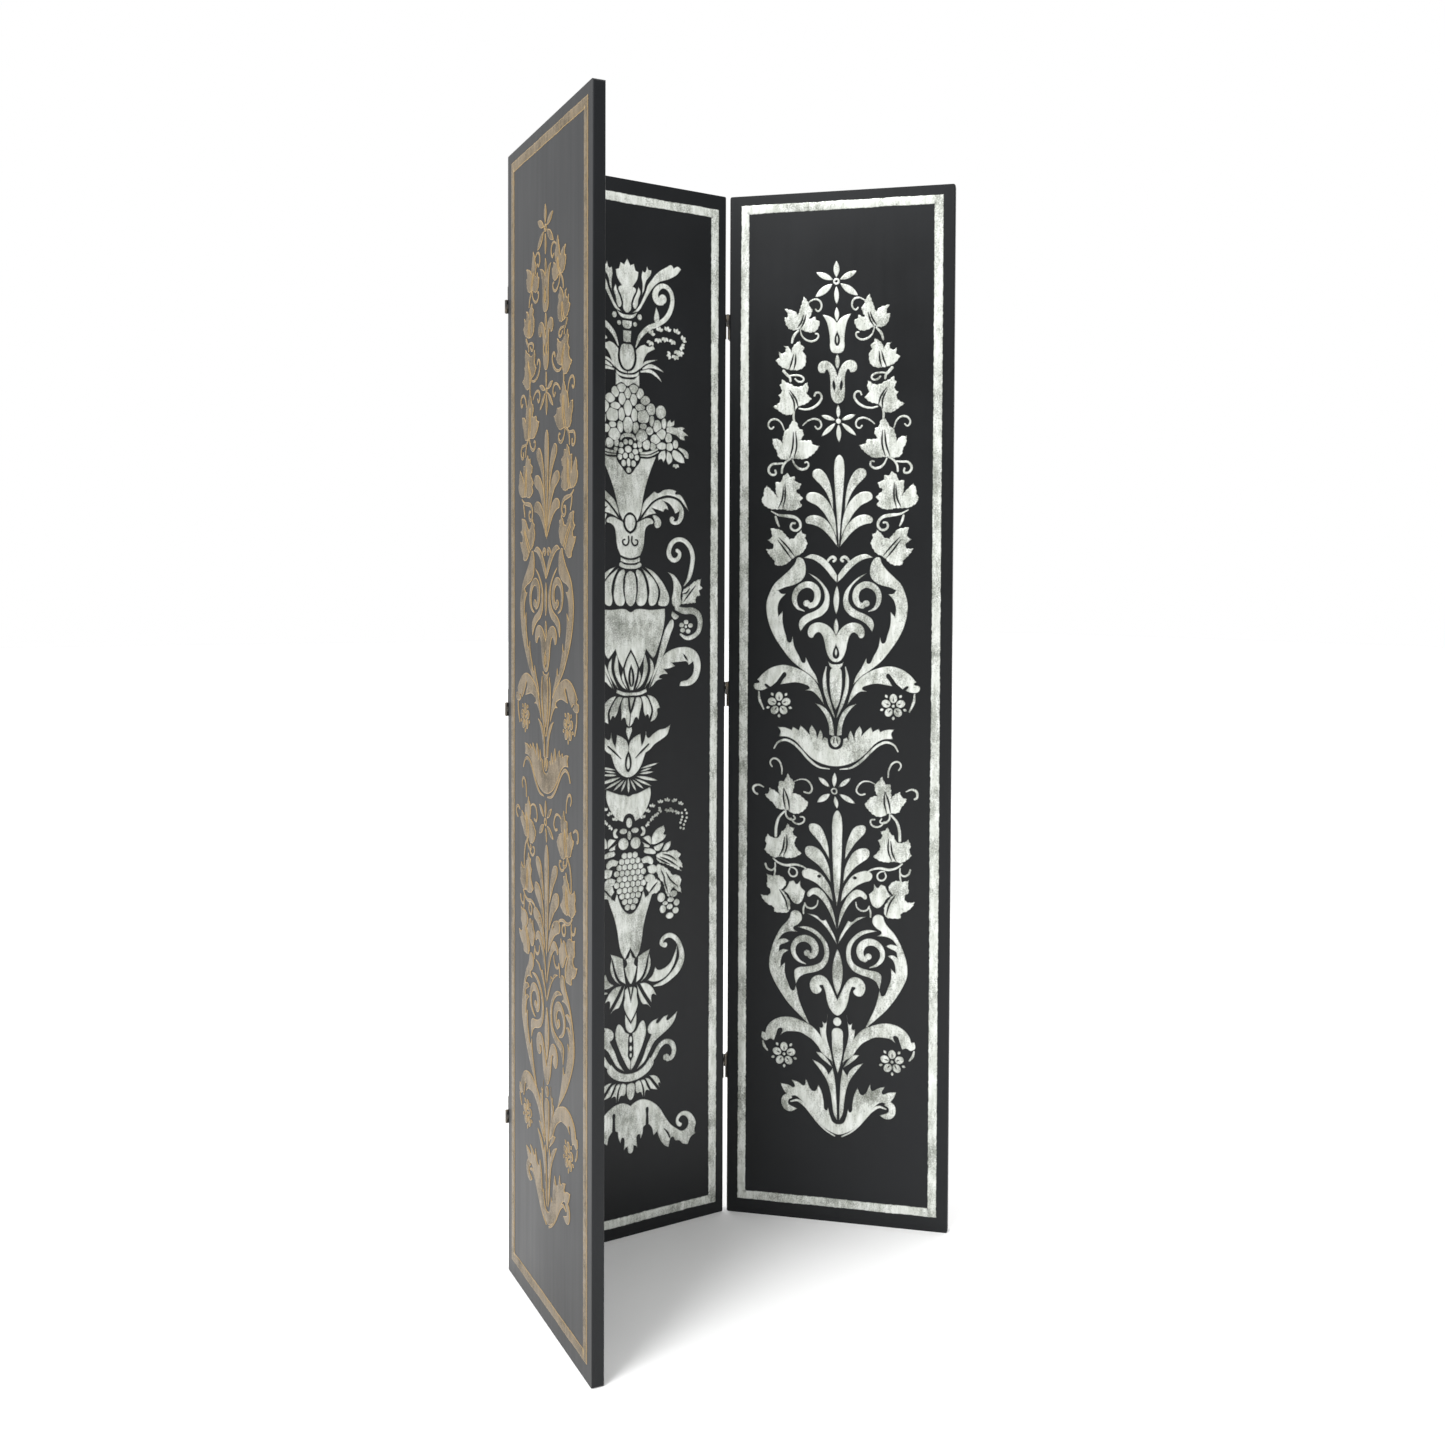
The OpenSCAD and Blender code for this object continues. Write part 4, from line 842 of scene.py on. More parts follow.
def draw_bowl(d):
    """The bowl with its egg, the strings of blossom, the grapes and the leaves around them."""
    d.whole([
        (0, 771), (8, 774), (16, 775), (28, 779), (43, 785, S), (44, 774), (41, 760), (33, 744),
        (22, 732), (12, 727, S), (8, 737), (0, 741),
    ])
    d.middle(oval((0, 725), 6, 9))
    d.middle(oval((0, 703), 4, 8))
    d.pair(oval((11.5, 711), 7.5, 5))
    d.sides([(23, 716), (29, 716), (32, 708), (29, 701), (22, 701), (26, 708)])
    d.pair(oval((12, 689), 10, 10.5))
    for u, v, turn in [
        (46, 748, 80), (63, 754, 90), (76, 756, 80), (92, 754, 100), (103, 748, 70), (36, 740, 70),
        (53, 738, 300), (65, 744, 200), (78, 744, 250), (88, 743, 220), (98, 739, 240),
        (43, 731, 320), (28, 730, 100), (34, 722, 320),
    ]:
        blossom(d, (u, v), 8, turn)
    for u, v in [
        (113, 739), (116, 733), (106, 734), (107, 727), (116, 725), (105, 722), (113, 719),
        (103, 717), (110, 713), (103, 708), (109, 706),
    ]:
        d.pair(oval((u, v), 2.7, 2.7))
    grapes = []
    for row, v in enumerate(range(668, 570, -10)):
        half_width = np.interp(v, [570, 585, 600, 620, 645, 668], [4, 14, 24, 28, 26, 14])
        shift = 5.2 if row % 2 else 0
        grapes += [(u, v, 4.9, 4.9) for u in np.arange(shift, half_width, 10.4)]
    d.heap(grapes, swell=1.2, gap=0.7)
    d.sides([
        (43, 684, S), (45, 698), (55, 710), (69, 715, S), (71, 705), (68, 700), (74, 698, S),
        (69, 691), (60, 686), (50, 683),
    ])
    d.sides([(26, 697, S), (40, 699), (43, 690), (42, 683, S), (34, 690)])
    d.sides([(24, 690, S), (32, 686), (40, 680), (28, 680, S), (28, 685)])
    d.sides([(48, 679, S), (60, 683), (69, 685, S), (64, 676), (58, 671), (50, 673)])
    d.sides([(64, 670, S), (72, 682), (83, 687, S), (81, 677), (74, 670)])
    d.leaf(
        [
            (52, 664, S), (62, 668), (76, 668), (92, 669), (103, 660, S), (98, 655), (104, 645),
            (106, 637, S), (99, 638), (104, 631, S), (93, 635), (83, 641), (70, 647), (56, 653),
        ],
        [
            [(60, 660), (74, 654), (96, 640)],
            [(66, 665), (82, 659), (94, 650)],
            [(54, 659), (66, 652), (80, 645)],
        ],
    )
    d.sides([(30, 678, S), (44, 676), (52, 668), (40, 667), (28, 672)])
    d.sides([(22, 660, S), (36, 664), (46, 656), (44, 648), (34, 652), (26, 652)])
    d.sides([(34, 645, S), (46, 648), (54, 640), (48, 632), (38, 634)])
    d.sides([(28, 628, S), (40, 632), (48, 628), (50, 620), (42, 617), (32, 619)])
    d.leaf(
        [
            (56, 648, S), (66, 643), (76, 636), (84, 626, S), (96, 624), (103, 615), (100, 607, S),
            (103, 592, S), (95, 596), (86, 603), (80, 592), (78, 585, S), (72, 594), (69, 604),
            (66, 613), (58, 622), (54, 632), (50, 640),
        ],
        [
            [(72, 632), (80, 618), (96, 604)],
            [(66, 628), (70, 612), (76, 594)],
            [(62, 636), (66, 628), (70, 620)],
        ],
        width=2.3,
    )
    d.leaf([
        (34, 617, S), (46, 622), (57, 619), (61, 608), (55, 598), (44, 596), (34, 590, S),
        (37, 601), (32, 606),
    ], [[(54, 616), (46, 608), (37, 598)]])
    bunch = [
        (62, 588, 8, 8.5), (87, 592, 7.6, 6), (81, 582, 7, 4.6), (93, 576, 6.2, 6.2),
        (70, 577, 5.6, 4), (65, 567, 6.6, 7.4), (79, 570, 6.4, 5.2), (91, 562, 6.6, 6),
        (79, 554, 8, 5.8),
    ]
    for u, v, ru, rv in bunch:
        d.pair(oval((u, v), ru, rv))


def draw_horn(d):
    """The tapered stem, the lotus with its scrolls, the petals under it and the last tulip."""
    d.whole([
        (0, 566), (9, 570), (17, 580), (22, 592), (26, 606, S), (30, 592, S), (45, 600, S),
        (38, 580), (31, 560), (26, 540), (23, 520), (18, 499), (11, 487, S), (6, 496), (0, 506, S),
    ])
    d.whole([
        (0, 502, S), (4, 490), (9, 487, S), (7, 478), (12, 472, S), (9, 460), (4, 448), (0, 443),
    ])
    d.sides([
        (15, 489, S), (26, 495), (39, 500, S), (34, 486), (29, 468), (21, 452), (10, 444, S),
        (12, 458), (14, 474),
    ])
    d.sides([(37, 492, S), (40, 477), (38, 465), (30, 452), (20, 444, S), (29, 457), (34, 474)])
    d.sides([
        (33, 445, S), (43, 453), (49, 467, S), (54, 461), (66, 462), (78, 469), (86, 481),
        (94, 499, S), (92, 480), (85, 463), (72, 448), (56, 441), (44, 441),
    ])
    d.ribbons([
        (46, 433), (63, 436), (81, 446), (95, 459), (103, 478), (100, 497), (92, 511), (79, 519),
        (67, 516), (62, 507), (68, 502),
    ], (3, 8, 10, 12.5, 13, 11, 9, 9, 9, 8, 8))
    d.pair(oval((69, 503), 5, 5))
    d.whole([(0, 438), (3, 438, S), (0, 418, S)])
    d.whole([(0, 412, S), (6, 438, S), (11, 434), (12, 420), (14, 407), (9, 392), (0, 377, S)])
    d.sides([
        (12, 441, S), (17, 432), (25, 418), (40, 396, S), (33, 402), (24, 404, S), (19, 412),
        (15, 425),
    ])
    d.sides([
        (18, 442, S), (30, 441), (43, 431), (51, 416, S), (43, 419), (41, 405, S), (32, 418),
        (24, 431),
    ])
    d.whole([(0, 373, S), (5, 381), (11, 391, S), (11, 375), (7, 362), (0, 357)])
    d.sides([
        (3, 356, S), (10, 360), (17, 371), (24, 376), (29, 368), (30, 352), (24, 334), (15, 314),
        (5, 296), (0.6, 292, S), (0.6, 308), (5, 316), (5, 330), (5, 343),
    ])
    d.middle(oval((0, 346), 3, 6))
    d.middle(oval((0, 330), 3, 5))
    d.middle(oval((0, 318), 2.4, 4))
    d.sides([
        (13, 292, S), (24, 310), (31, 328), (41, 348, S), (35, 352), (34, 362), (42, 371),
        (55, 375, S), (51, 367), (66, 376), (75, 378, S), (72, 369), (82, 373), (94, 382, S),
        (88, 366), (77, 354), (60, 343), (47, 334), (37, 318), (27, 302),
    ])
    d.ribbons([
        (31, 294), (47, 309), (57, 324), (70, 331), (82, 326), (87, 312), (82, 301), (72, 299),
    ], (3, 9, 9, 9, 10, 9, 9))
    d.pair(oval((71, 303), 6.5, 6))
    d.whole([
        (0, 286), (14, 288), (28, 296), (38, 308, S), (46, 300), (38, 286), (24, 277), (0, 272),
    ])


def draw_foot(d):
    """The fringe of petals and the spreading leaves at the bottom."""
    d.whole([(0, 269), (7, 267), (8, 255), (5, 243), (0, 239)])
    d.sides([(9, 268, S), (17, 271), (22, 262), (25, 240, S), (19, 250), (13, 249)])
    d.sides([(20, 271, S), (26, 271), (33, 258), (38, 249, S), (31, 251), (28, 240, S), (26, 256)])
    d.sides([(29, 273, S), (36, 271), (45, 260), (54, 248, S), (46, 250), (40, 252, S), (35, 262)])
    d.sides([
        (37, 276, S), (47, 275), (56, 268), (60, 258, S), (56, 260), (58, 251, S), (50, 261),
        (43, 270),
    ])
    vein = ribbon([(67, 176), (74, 168), (79, 158)], (0.6, 3, 2))
    d.whole([
        (0, 229, S), (8, 234), (20, 237), (33, 234), (45, 227), (57, 216), (70, 196), (80, 182),
        (92, 172), (104, 165), (113, 168), (117, 178), (112, 189), (103, 192), (97, 185),
        (100, 181, S), (104, 178), (101, 173), (94, 176), (91, 186), (96, 196), (107, 200),
        (119, 196), (128, 186), (133, 174), (130, 162), (132, 155, S), (122, 150), (116, 138, S),
        (106, 141), (99, 148), (90, 150, S), (84, 158), (76, 141, S), (68, 146), (59, 158),
        (53, 174, S), (46, 168, S), (42, 183), (36, 190, S), (35, 206), (33, 221), (31, 206),
        (30, 190, S), (25, 187, S), (24, 177), (20, 167, S), (16, 176), (13, 153, S), (10, 157),
        (6, 158, S), (4, 147), (0, 145),
    ], [vein, flipped(vein)])


def fruit_urn():
    """Design 2, bent as the brush strayed from the middle line."""
    d = Drawing()
    for part in (
        draw_crest, draw_neck, draw_fruit, draw_fruit_vase, draw_urn, draw_drape, draw_bowl,
        draw_horn, draw_foot,
    ):
        part(d)
    return d.bent([
        (150, 8), (440, 8), (500, 7), (640, 6), (725, 4), (820, 2), (880, 3), (940, 9), (1010, 7),
        (1130, 6), (1250, 5), (1370, 1), (1460, 0), (1550, -1.5), (1700, -1.5),
    ])


# ---------------------------------------------------------------- from outlines to low relief

# the points added to a shape's upper side, in mm
NEAR_RING, FAR_RING = 1.0, 2.3  # two rings, this far in from the edge
NEAR_CLEAR, FAR_CLEAR, GRID_CLEAR = 0.9, 2.1, 3.6  # none comes closer to another edge than this
ROW_SPACING = 0.87  # of CELL, which makes the grid's triangles near equal

RIM_REACH = 2.6  # distance in from the edge over which the rim attribute fades, in mm
SAME_POINT = 1e-4
BATCH = 256  # segments looked at together
SHARP_ANGLE = math.radians(52)  # edges steeper than this aren't shaded smooth


def triangles(points, edges):
    """Triangles inside the loops that the edges make, holes left out."""
    made = delaunay_2d_cdt([Vector(p) for p in points], edges, [], 1, SAME_POINT, False)
    corners = np.array([tuple(v) for v in made[0]])
    faces = np.array(made[2], int).reshape(-1, 3)
    loops = np.array(points, float)[np.array(edges, int)]
    return corners, faces[inside(corners[faces].mean(1), loops[:, 0], loops[:, 1])]


def outer_edges(faces):
    """Directed edges that only one triangle uses, with the shape on their left."""
    edges = np.vstack([faces[:, [0, 1]], faces[:, [1, 2]], faces[:, [2, 0]]])
    key = np.sort(edges, axis=1)
    _, index, count = np.unique(key, axis=0, return_inverse=True, return_counts=True)
    return edges[count[index.ravel()] == 1]


def distance(points, a, b):
    """How far each point lies from the nearest of the segments a-b."""
    best = np.full(len(points), np.inf)
    for start in range(0, len(a), BATCH):
        p, q = a[start : start + BATCH], b[start : start + BATCH]
        d = q - p
        along = ((points[:, None] - p) * d).sum(2) / np.maximum((d**2).sum(1), 1e-12)
        t = np.clip(along, 0, 1)
        near = np.hypot(*np.moveaxis(points[:, None] - p - t[..., None] * d, 2, 0))
        best = np.minimum(best, near.min(1))
    return best


def inside(points, a, b):
    """True for each point that the loops of segments a-b hold."""
    odd = np.zeros(len(points), bool)
    for start in range(0, len(a), BATCH):
        p, q = a[start : start + BATCH], b[start : start + BATCH]
        v = points[:, 1:2]
        spans = (p[:, 1] > v) != (q[:, 1] > v)
        rise = np.where(q[:, 1] == p[:, 1], 1, q[:, 1] - p[:, 1])
        crossing = p[:, 0] + (v - p[:, 1]) / rise * (q[:, 0] - p[:, 0])
        odd ^= (spans & (points[:, :1] < crossing)).sum(1) % 2 == 1
    return odd


def inner_points(flat, a, b, cell):
    """Points inside the edges a-b: two rings along them, and a grid in what is left."""
    way = b - a
    left = np.c_[-way[:, 1], way[:, 0]] / np.maximum(np.hypot(*way.T), 1e-9)[:, None]
    near = (a + b) / 2 + left * NEAR_RING
    far = ((a + b) / 2 + left * FAR_RING)[::2]
    lo, hi = flat.min(0), flat.max(0)
    grid = [
        (u + (cell / 2 if i % 2 else 0), v)
        for i, v in enumerate(np.arange(lo[1], hi[1], cell * ROW_SPACING))
        for u in np.arange(lo[0], hi[0], cell)
    ]
    grid = np.array(grid, float).reshape(-1, 2)
    near = near[distance(near, a, b) > NEAR_CLEAR]
    far = far[distance(far, a, b) > FAR_CLEAR]
    grid = grid[inside(grid, a, b)]
    grid = grid[distance(grid, a, b) > GRID_CLEAR]
    inner = np.vstack([near, far, grid])
    return inner[inside(inner, a, b)]


def relief_shell(outline, cuts, top, cell=CELL, rim=RIM_HEIGHT, rounding=ROUNDING):
    """One closed form with a flat underside, a short wall and a rounded top.

    Returns its corners, its triangles and how near each corner is to the rim.
    """
    points, edges = [], []
    for loop in [outline, *cuts]:
        first, n = len(points), len(loop)
        points += [tuple(p) for p in loop]
        edges += [(first + i, first + (i + 1) % n) for i in range(n)]
    flat, floor = triangles(points, edges)
    border = outer_edges(floor)
    a, b = flat[border[:, 0]], flat[border[:, 1]]
    upper, cover = triangles(
        [tuple(p) for p in [*flat, *inner_points(flat, a, b, cell)]],
        [tuple(e) for e in border.tolist()],
    )
    depth = distance(upper, a, b)
    bulge = np.sqrt(1 - (1 - np.clip(depth / rounding, 0, 1)) ** 2)
    height = rim + (top - rim) * bulge
    n = len(upper)
    where = {(round(x, 3), round(y, 3)): i for i, (x, y) in enumerate(flat.tolist())}
    walls = []
    for i, j in outer_edges(cover).tolist():
        p = where.get((round(upper[i, 0], 3), round(upper[i, 1], 3)))
        q = where.get((round(upper[j, 0], 3), round(upper[j, 1], 3)))
        if p is not None and q is not None:
            walls += [(n + p, n + q, j), (n + p, j, i)]
    corners = np.vstack([np.c_[upper, height], np.c_[flat, np.full(len(flat), -SINK)]])
    faces = np.vstack([cover, np.array(walls, int).reshape(-1, 3), floor[:, ::-1] + n])
    nearness = np.r_[1 - np.clip(depth / RIM_REACH, 0, 1), np.ones(len(flat))]
    return corners, faces, nearness


def relief(shapes, **how):
    """All of the shapes as one set of corners, triangles and nearness to a rim."""
    corners, faces, nearness, first = [], [], [], 0
    for outline, cuts, top in shapes:
        c, f, r = relief_shell(outline, cuts, top, **how)
        corners.append(c)
        faces.append(f + first)
        nearness.append(r)
        first += len(c)
    return np.vstack(corners), np.vstack(faces), np.concatenate(nearness)


def border_shape(reach, low, high):
    """The leafed frame of a face: a band with edges that stray a little, as if laid by hand."""

    def wavering(inset):
        side, foot, head = reach - inset, low + inset, high - inset
        corners = [(-side, foot), (side, foot), (side, head), (-side, head)]
        loop = []
        for a, b in zip(corners, corners[1:] + corners[:1]):
            a, b = np.array(a, float), np.array(b, float)
            length = np.hypot(*(b - a))
            n = round(length / BORDER_STEP)
            across = np.array([a[1] - b[1], b[0] - a[0]]) / length
            nicks = RNG.normal(0, NICKS, n)
            stations = RNG.normal(0, DRIFT, 9)
            drift = np.interp(np.arange(n), np.linspace(0, n, len(stations)), stations)
            t = np.arange(n)[:, None] / n
            loop.append(a + (b - a) * t + across * (nicks + drift)[:, None])
        return np.vstack(loop)

    return wavering(0), [wavering(BORDER_WIDTH)], BORDER_HEIGHT


def leafing(drawing, border):
    """The two raised parts of a face, under the names their CAD nodes end in."""
    return {
        "relief": relief(drawing.shapes),
        "border": relief(
            [border_shape(*border)], cell=BORDER_CELL, rim=BORDER_RIM, rounding=BORDER_ROUNDING
        ),
    }


# ---------------------------------------------------------------- panels


class Panel:
    """Where a board's middle line, foot and faces are, from the CAD node and its hinge joint."""

    def __init__(self, hinge=None):
        lo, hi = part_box("centre_board")
        self.thick = (hi - lo).y
        place = Matrix.Translation(((lo.x + hi.x) / 2, (lo.y + hi.y) / 2, lo.z))
        if hinge:
            joint = next(j for j in frame["joints"] if j["name"] == hinge)
            pin = Vector(joint["pos_m"])
            fold = -math.radians(joint["range_deg"][0])
            turn = Matrix.Rotation(fold, 4, Vector(joint["axis"]))
            along = Matrix.Translation((2 * pin.x, 0, 0))
            place = Matrix.Translation(pin) @ turn @ Matrix.Translation(-pin) @ along @ place
        self.place = place

    def onto(self, corners, face):
        """Corners from (u, v, height) in mm on a face to the frame's metres."""
        u, v, h = np.asarray(corners, float).T * MM
        out = h + self.thick / 2
        local = np.c_[u, -out, v] if face == "silver" else np.c_[-u, out, v]
        m = np.array(self.place)
        return local @ m[:3, :3].T + m[:3, 3]


def make_piece(name, corners, faces, nearness, material, body, node):
    mesh = bpy.data.meshes.new(name)
    mesh.from_pydata(corners.tolist(), [], faces.tolist())
    rim = mesh.attributes.new("rim", "FLOAT", "POINT")
    rim.data.foreach_set("value", np.asarray(nearness, np.float32))
    mesh.polygons.foreach_set("use_smooth", [True] * len(mesh.polygons))
    mesh.set_sharp_from_angle(angle=SHARP_ANGLE)
    mesh.materials.append(material)
    piece = bpy.data.objects.new(name, mesh)
    bpy.context.scene.collection.objects.link(piece)
    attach(piece, body)
    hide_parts(node)


# ---------------------------------------------------------------- materials


class Nodes:
    """A material's or world's nodes and short ways to add to them."""

    def __init__(self, owner):
        owner.use_nodes = True
        self.owner, self.tree = owner, owner.node_tree
        self.shader = self.tree.nodes.get("Principled BSDF") or self.tree.nodes["Background"]

    def add(self, kind, **values):
        """A node of a kind. values name its inputs, or its own settings in lower case."""
        node = self.tree.nodes.new("ShaderNode" + kind)
        for key, value in values.items():
            if key[0].islower():
                setattr(node, key, value)
            else:
                self.put(node.inputs[key.replace("_", " ")], value)
        return node

    def put(self, socket, value):
        """Links the socket to another one, or sets its value."""
        if isinstance(value, bpy.types.NodeSocket):
            self.tree.links.new(value, socket)
        else:
            socket.default_value = value

    def shade(self, **values):
        """The same for the shader's inputs."""
        for key, value in values.items():
            self.put(self.shader.inputs[key.replace("_", " ")], value)

    def noise(self, scale, stretch=(1, 1, 1), detail=4.0, rough=0.55):
        """Noise over the object's coordinates, stretched."""
        coords = self.add("TexCoord").outputs["Object"]
        place = self.add("Mapping", Vector=coords, Scale=stretch).outputs["Vector"]
        return self.add(
            "TexNoise", Vector=place, Scale=scale, Detail=detail, Roughness=rough
        ).outputs["Fac"]

    def band(self, value, low, high, to_low=0.0, to_high=1.0):
        """value between low and high, spread over to_low to to_high."""
        return self.add(
            "MapRange", Value=value, From_Min=low, From_Max=high, To_Min=to_low, To_Max=to_high
        ).outputs["Result"]

    def math(self, operation, a, b):
        node = self.add("Math", operation=operation)
        self.put(node.inputs[0], a)
        self.put(node.inputs[1], b)
        return node.outputs["Value"]

    def mix(self, factor, a, b):
        """Colour a where factor is 0 and b where it is 1."""
        node = self.add("Mix", data_type="RGBA")
        for socket, value in ((0, factor), (6, a), (7, b)):  # 6 and 7 are the colour sockets
            self.put(node.inputs[socket], value)
        return node.outputs[2]

    def bump(self, height, depth, strength=1.0, onto=None):
        """A normal raised by height times depth in metres, on top of another normal."""
        node = self.add("Bump", Height=height, Distance=depth, Strength=strength)
        if onto is not None:
            self.put(node.inputs["Normal"], onto)
        return node.outputs["Normal"]


def rgb(*levels):
    """A colour from its three sRGB levels, 0 to 255."""
    linear = [(x / 255 / 12.92) if x <= 10 else ((x / 255 + 0.055) / 1.055) ** 2.4 for x in levels]
    return (*linear, 1.0)


def lacquer():
    """Satin black lacquer, brushed by hand: slight streaks, dust nibs, a few rubbed places."""
    n = Nodes(bpy.data.materials.new("black_lacquer_look"))
    cloud = n.noise(3.0, detail=3.0)
    streak = n.noise(30.0, (3.0, 3.0, 0.12), detail=5.0, rough=0.6)
    nibs = n.noise(900.0, detail=2.0)
    colour = n.mix(n.band(cloud, 0.35, 0.7), rgb(15, 17, 19), rgb(23, 25, 28))
    colour = n.mix(n.band(nibs, 0.70, 0.80, 0, 0.5), colour, rgb(60, 62, 64))
    rubbed, streaked = n.band(cloud, 0.3, 0.7, 0.34, 0.44), n.band(streak, 0.3, 0.7, -0.02, 0.03)
    brush_marks = n.bump(streak, 0.00006, 0.5)
    n.shade(
        Base_Color=colour,
        Roughness=n.math("ADD", rubbed, streaked),
        Normal=n.bump(nibs, 0.00004, 0.6, brush_marks),
        Specular_IOR_Level=0.3,
    )
    return n.owner


def leaf_metal(name, face, bright, patina, edge_tone_and_glint, metallic, specks):
    """Leaf laid over gesso.

    It is bright where rubbed, grainy with patina in clouds, worn through in specks, and has
    another tone along each shape's edge: dark on silver, a painted glint of bright gold on gold.
    """
    n = Nodes(bpy.data.materials.new(name))
    cloud = n.noise(17.0, detail=5.0, rough=0.6)
    brushed = n.noise(90.0, (1.0, 1.0, 0.3), detail=5.0, rough=0.7)
    grain = n.noise(380.0, detail=4.0, rough=0.7)
    fine = n.noise(1500.0, detail=2.0)
    rim = n.add("Attribute", attribute_name="rim").outputs["Fac"]
    clouds = n.math("ADD", n.math("MULTIPLY", cloud, 1.3), n.math("MULTIPLY", brushed, 0.4))
    grainy = n.band(n.math("ADD", grain, clouds), 1.32, 1.66)
    # where the edge tone goes, near the rim and speckled by the grain: a dark tone on silver, a
    # painted glint on gold
    edge = n.math("MULTIPLY", n.band(rim, 0.55, 1.0), n.band(grain, 0.25, 0.55, 0.45, 1.0))
    worn = n.band(cloud, 0.45, 0.62, specks * 0.2, specks)
    holes = n.math("MULTIPLY", n.band(grain, 0.66, 0.72), worn)
    colour = n.mix(n.band(brushed, 0.35, 0.62), bright, face)
    colour = n.mix(n.math("MULTIPLY", grainy, 0.85), colour, patina)
    colour = n.mix(n.math("MULTIPLY", edge, 0.8), colour, edge_tone_and_glint)
    colour = n.mix(holes, colour, rgb(42, 44, 40))
    dull, uneven = n.band(grainy, 0, 1, 0.34, 0.58), n.band(fine, 0.3, 0.7, -0.04, 0.06)
    laid_on = n.bump(brushed, 0.0003, 0.7, n.bump(grain, 0.00022, 0.8))
    n.shade(
        Base_Color=colour,
        Metallic=n.band(grainy, 0, 1, metallic, metallic * 0.6),
        Roughness=n.math("ADD", dull, uneven),
        Normal=n.bump(fine, 0.00004, 0.5, laid_on),
    )
    return n.owner


def silver_leaf():
    return leaf_metal(
        "silver_leaf_look",
        face=rgb(207, 211, 202),
        bright=rgb(243, 246, 241),
        patina=rgb(108, 112, 102),
        edge_tone_and_glint=rgb(40, 44, 39),
        metallic=0.25,
        specks=0.9,
    )


def gold_leaf():
    return leaf_metal(
        "gold_leaf_look",
        face=rgb(98, 83, 56),
        bright=rgb(122, 103, 70),
        patina=rgb(64, 57, 44),
        # painted glint: bright gold along each shape's edge stands in for light caught by the edges
        edge_tone_and_glint=rgb(206, 172, 112),
        metallic=0.35,
        specks=0.8,
    )


def hinge_metal():
    """Dull steel with handled, browner patches."""
    n = Nodes(bpy.data.materials.new("hinge_metal_look"))
    cloud = n.noise(90.0, detail=5.0)
    fine = n.noise(800.0, detail=3.0)
    n.shade(
        Base_Color=n.mix(n.band(cloud, 0.4, 0.65), rgb(84, 83, 82), rgb(122, 112, 98)),
        Metallic=0.85,
        Roughness=n.band(cloud, 0.3, 0.7, 0.34, 0.55),
        Normal=n.bump(fine, 0.00003, 0.5),
    )
    return n.owner


# ---------------------------------------------------------------- stage


def ground():
    """The pale floor."""
    n = Nodes(bpy.data.materials.new("pale_floor"))
    colour = n.mix(n.noise(1.5), rgb(252, 252, 252), rgb(254, 254, 254))
    n.shade(Base_Color=colour, Roughness=0.85)
    far = 30.0
    corners = [(-far, -far, 0), (far, -far, 0), (far, far, 0), (-far, far, 0)]
    mesh = bpy.data.meshes.new("floor")
    mesh.from_pydata(corners, [], [(0, 1, 2, 3)])
    mesh.materials.append(n.owner)
    floor = bpy.data.objects.new("floor", mesh)
    bpy.context.scene.collection.objects.link(floor)


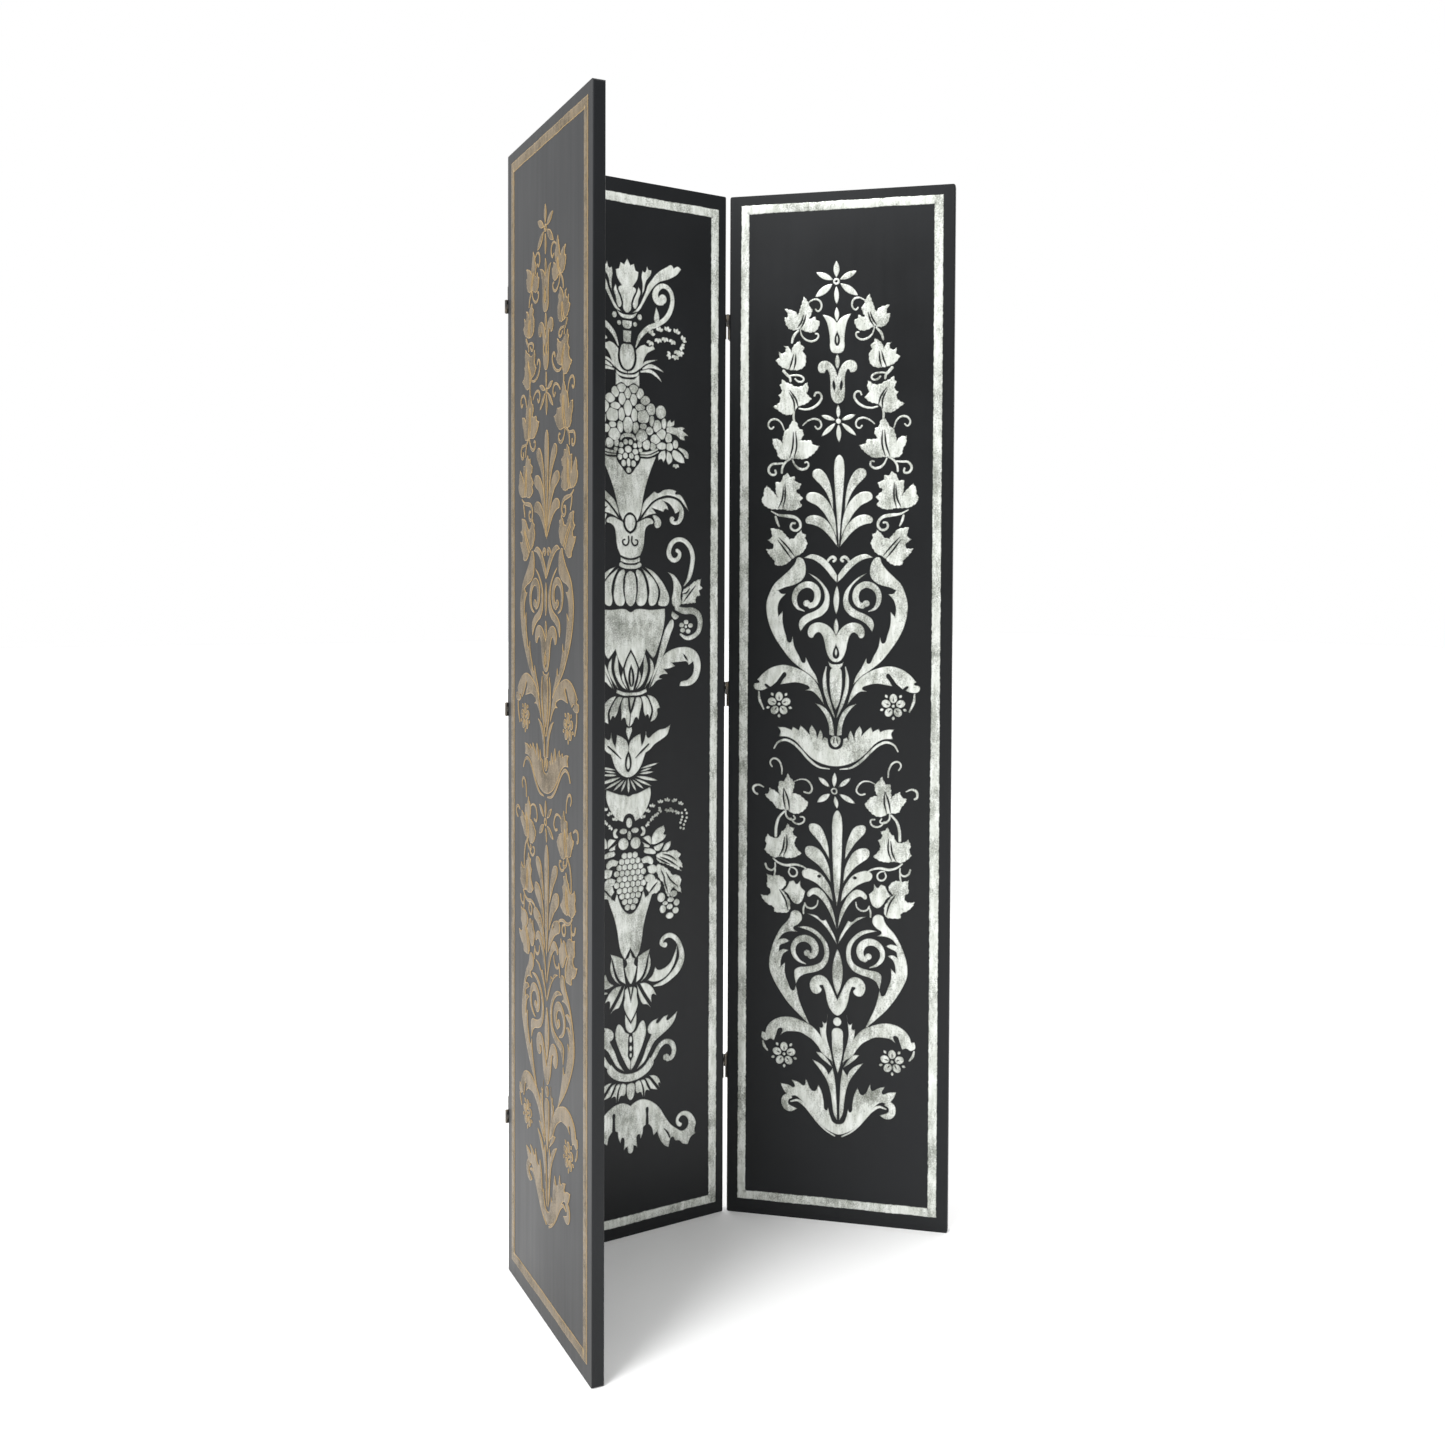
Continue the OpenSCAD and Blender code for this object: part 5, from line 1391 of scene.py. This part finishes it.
def studio():
    """A white backdrop and ceiling, a dimmer room behind the camera, and a key from the left."""
    world = bpy.data.worlds.new("studio")
    n = Nodes(world)
    way = n.add("SeparateXYZ", Vector=n.add("TexCoord").outputs["Generated"])
    room = n.band(way.outputs["Y"], -0.45, 0.10, 0.33, 1.0)
    ceiling = n.band(way.outputs["Z"], 0.46, 0.66, 0.0, 1.0)
    strength = n.math("ADD", room, n.math("MULTIPLY", ceiling, 0.75))
    n.shade(Color=(1, 1, 1, 1), Strength=strength)
    bpy.context.scene.world = world
    bpy.context.scene.view_settings.view_transform = "Standard"

    at, towards = Vector((-3.2, -1.7, 5.0)), Vector((0, 0, 1.0))
    data = bpy.data.lights.new("key", "AREA")
    data.shape, data.size, data.energy = "DISK", 1.8, 210
    light = bpy.data.objects.new("key", data)
    light.location = at
    light.rotation_euler = (towards - at).to_track_quat("-Z", "Y").to_euler()
    bpy.context.scene.collection.objects.link(light)


def camera():
    """The photo's view, as fitted to the panels' corners: from the left, almost level."""
    yaw, pitch, roll = math.radians(32.033), math.radians(-1.568), math.radians(0.204)
    ahead = Vector(
        (math.sin(yaw) * math.cos(pitch), math.cos(yaw) * math.cos(pitch), math.sin(pitch))
    )
    level = Vector((math.cos(yaw), -math.sin(yaw), 0))
    upright = level.cross(ahead)
    right = level * math.cos(roll) + upright * math.sin(roll)
    up = upright * math.cos(roll) - level * math.sin(roll)
    data = bpy.data.cameras.new("camera")
    data.sensor_width, data.lens = 36.0, 35.42
    data.shift_y = -0.060
    data.clip_start, data.clip_end = 0.05, 100.0
    cam = bpy.data.objects.new("camera", data)
    cam.matrix_world = Matrix((right, up, -ahead)).transposed().to_4x4()
    cam.location = (-1.1613, -2.1754, 1.1169)
    bpy.context.scene.collection.objects.link(cam)
    bpy.context.scene.camera = cam


# ---------------------------------------------------------------- the screen

camera()
studio()
ground()

LOOKS = {
    "black_lacquer": lacquer(),
    "silver_leaf": silver_leaf(),
    "gold_leaf": gold_leaf(),
    "hinge_metal": hinge_metal(),
}
for node in frame["nodes"].values():
    for slot in node.material_slots:
        slot.material = LOOKS[slot.material.name.split(".")[0]]

OUTER = leafing(candelabrum(), OUTER_BORDER)
CENTRE = leafing(fruit_urn(), CENTRE_BORDER)

for side, panel, raised in (
    ("centre", Panel(), CENTRE),
    ("left", Panel("left_front_fold"), OUTER),
    ("right", Panel("right_front_fold"), OUTER),
):
    for part, (corners, faces, nearness) in raised.items():
        for face in ("silver", "gold"):
            look = f"{face}_leaf"
            make_piece(
                f"{side}_{face}_{part}_leafed",
                panel.onto(corners, face),
                faces,
                nearness,
                LOOKS[look],
                f"{side}_panel",
                f"{side}_{face}_{part}",
            )
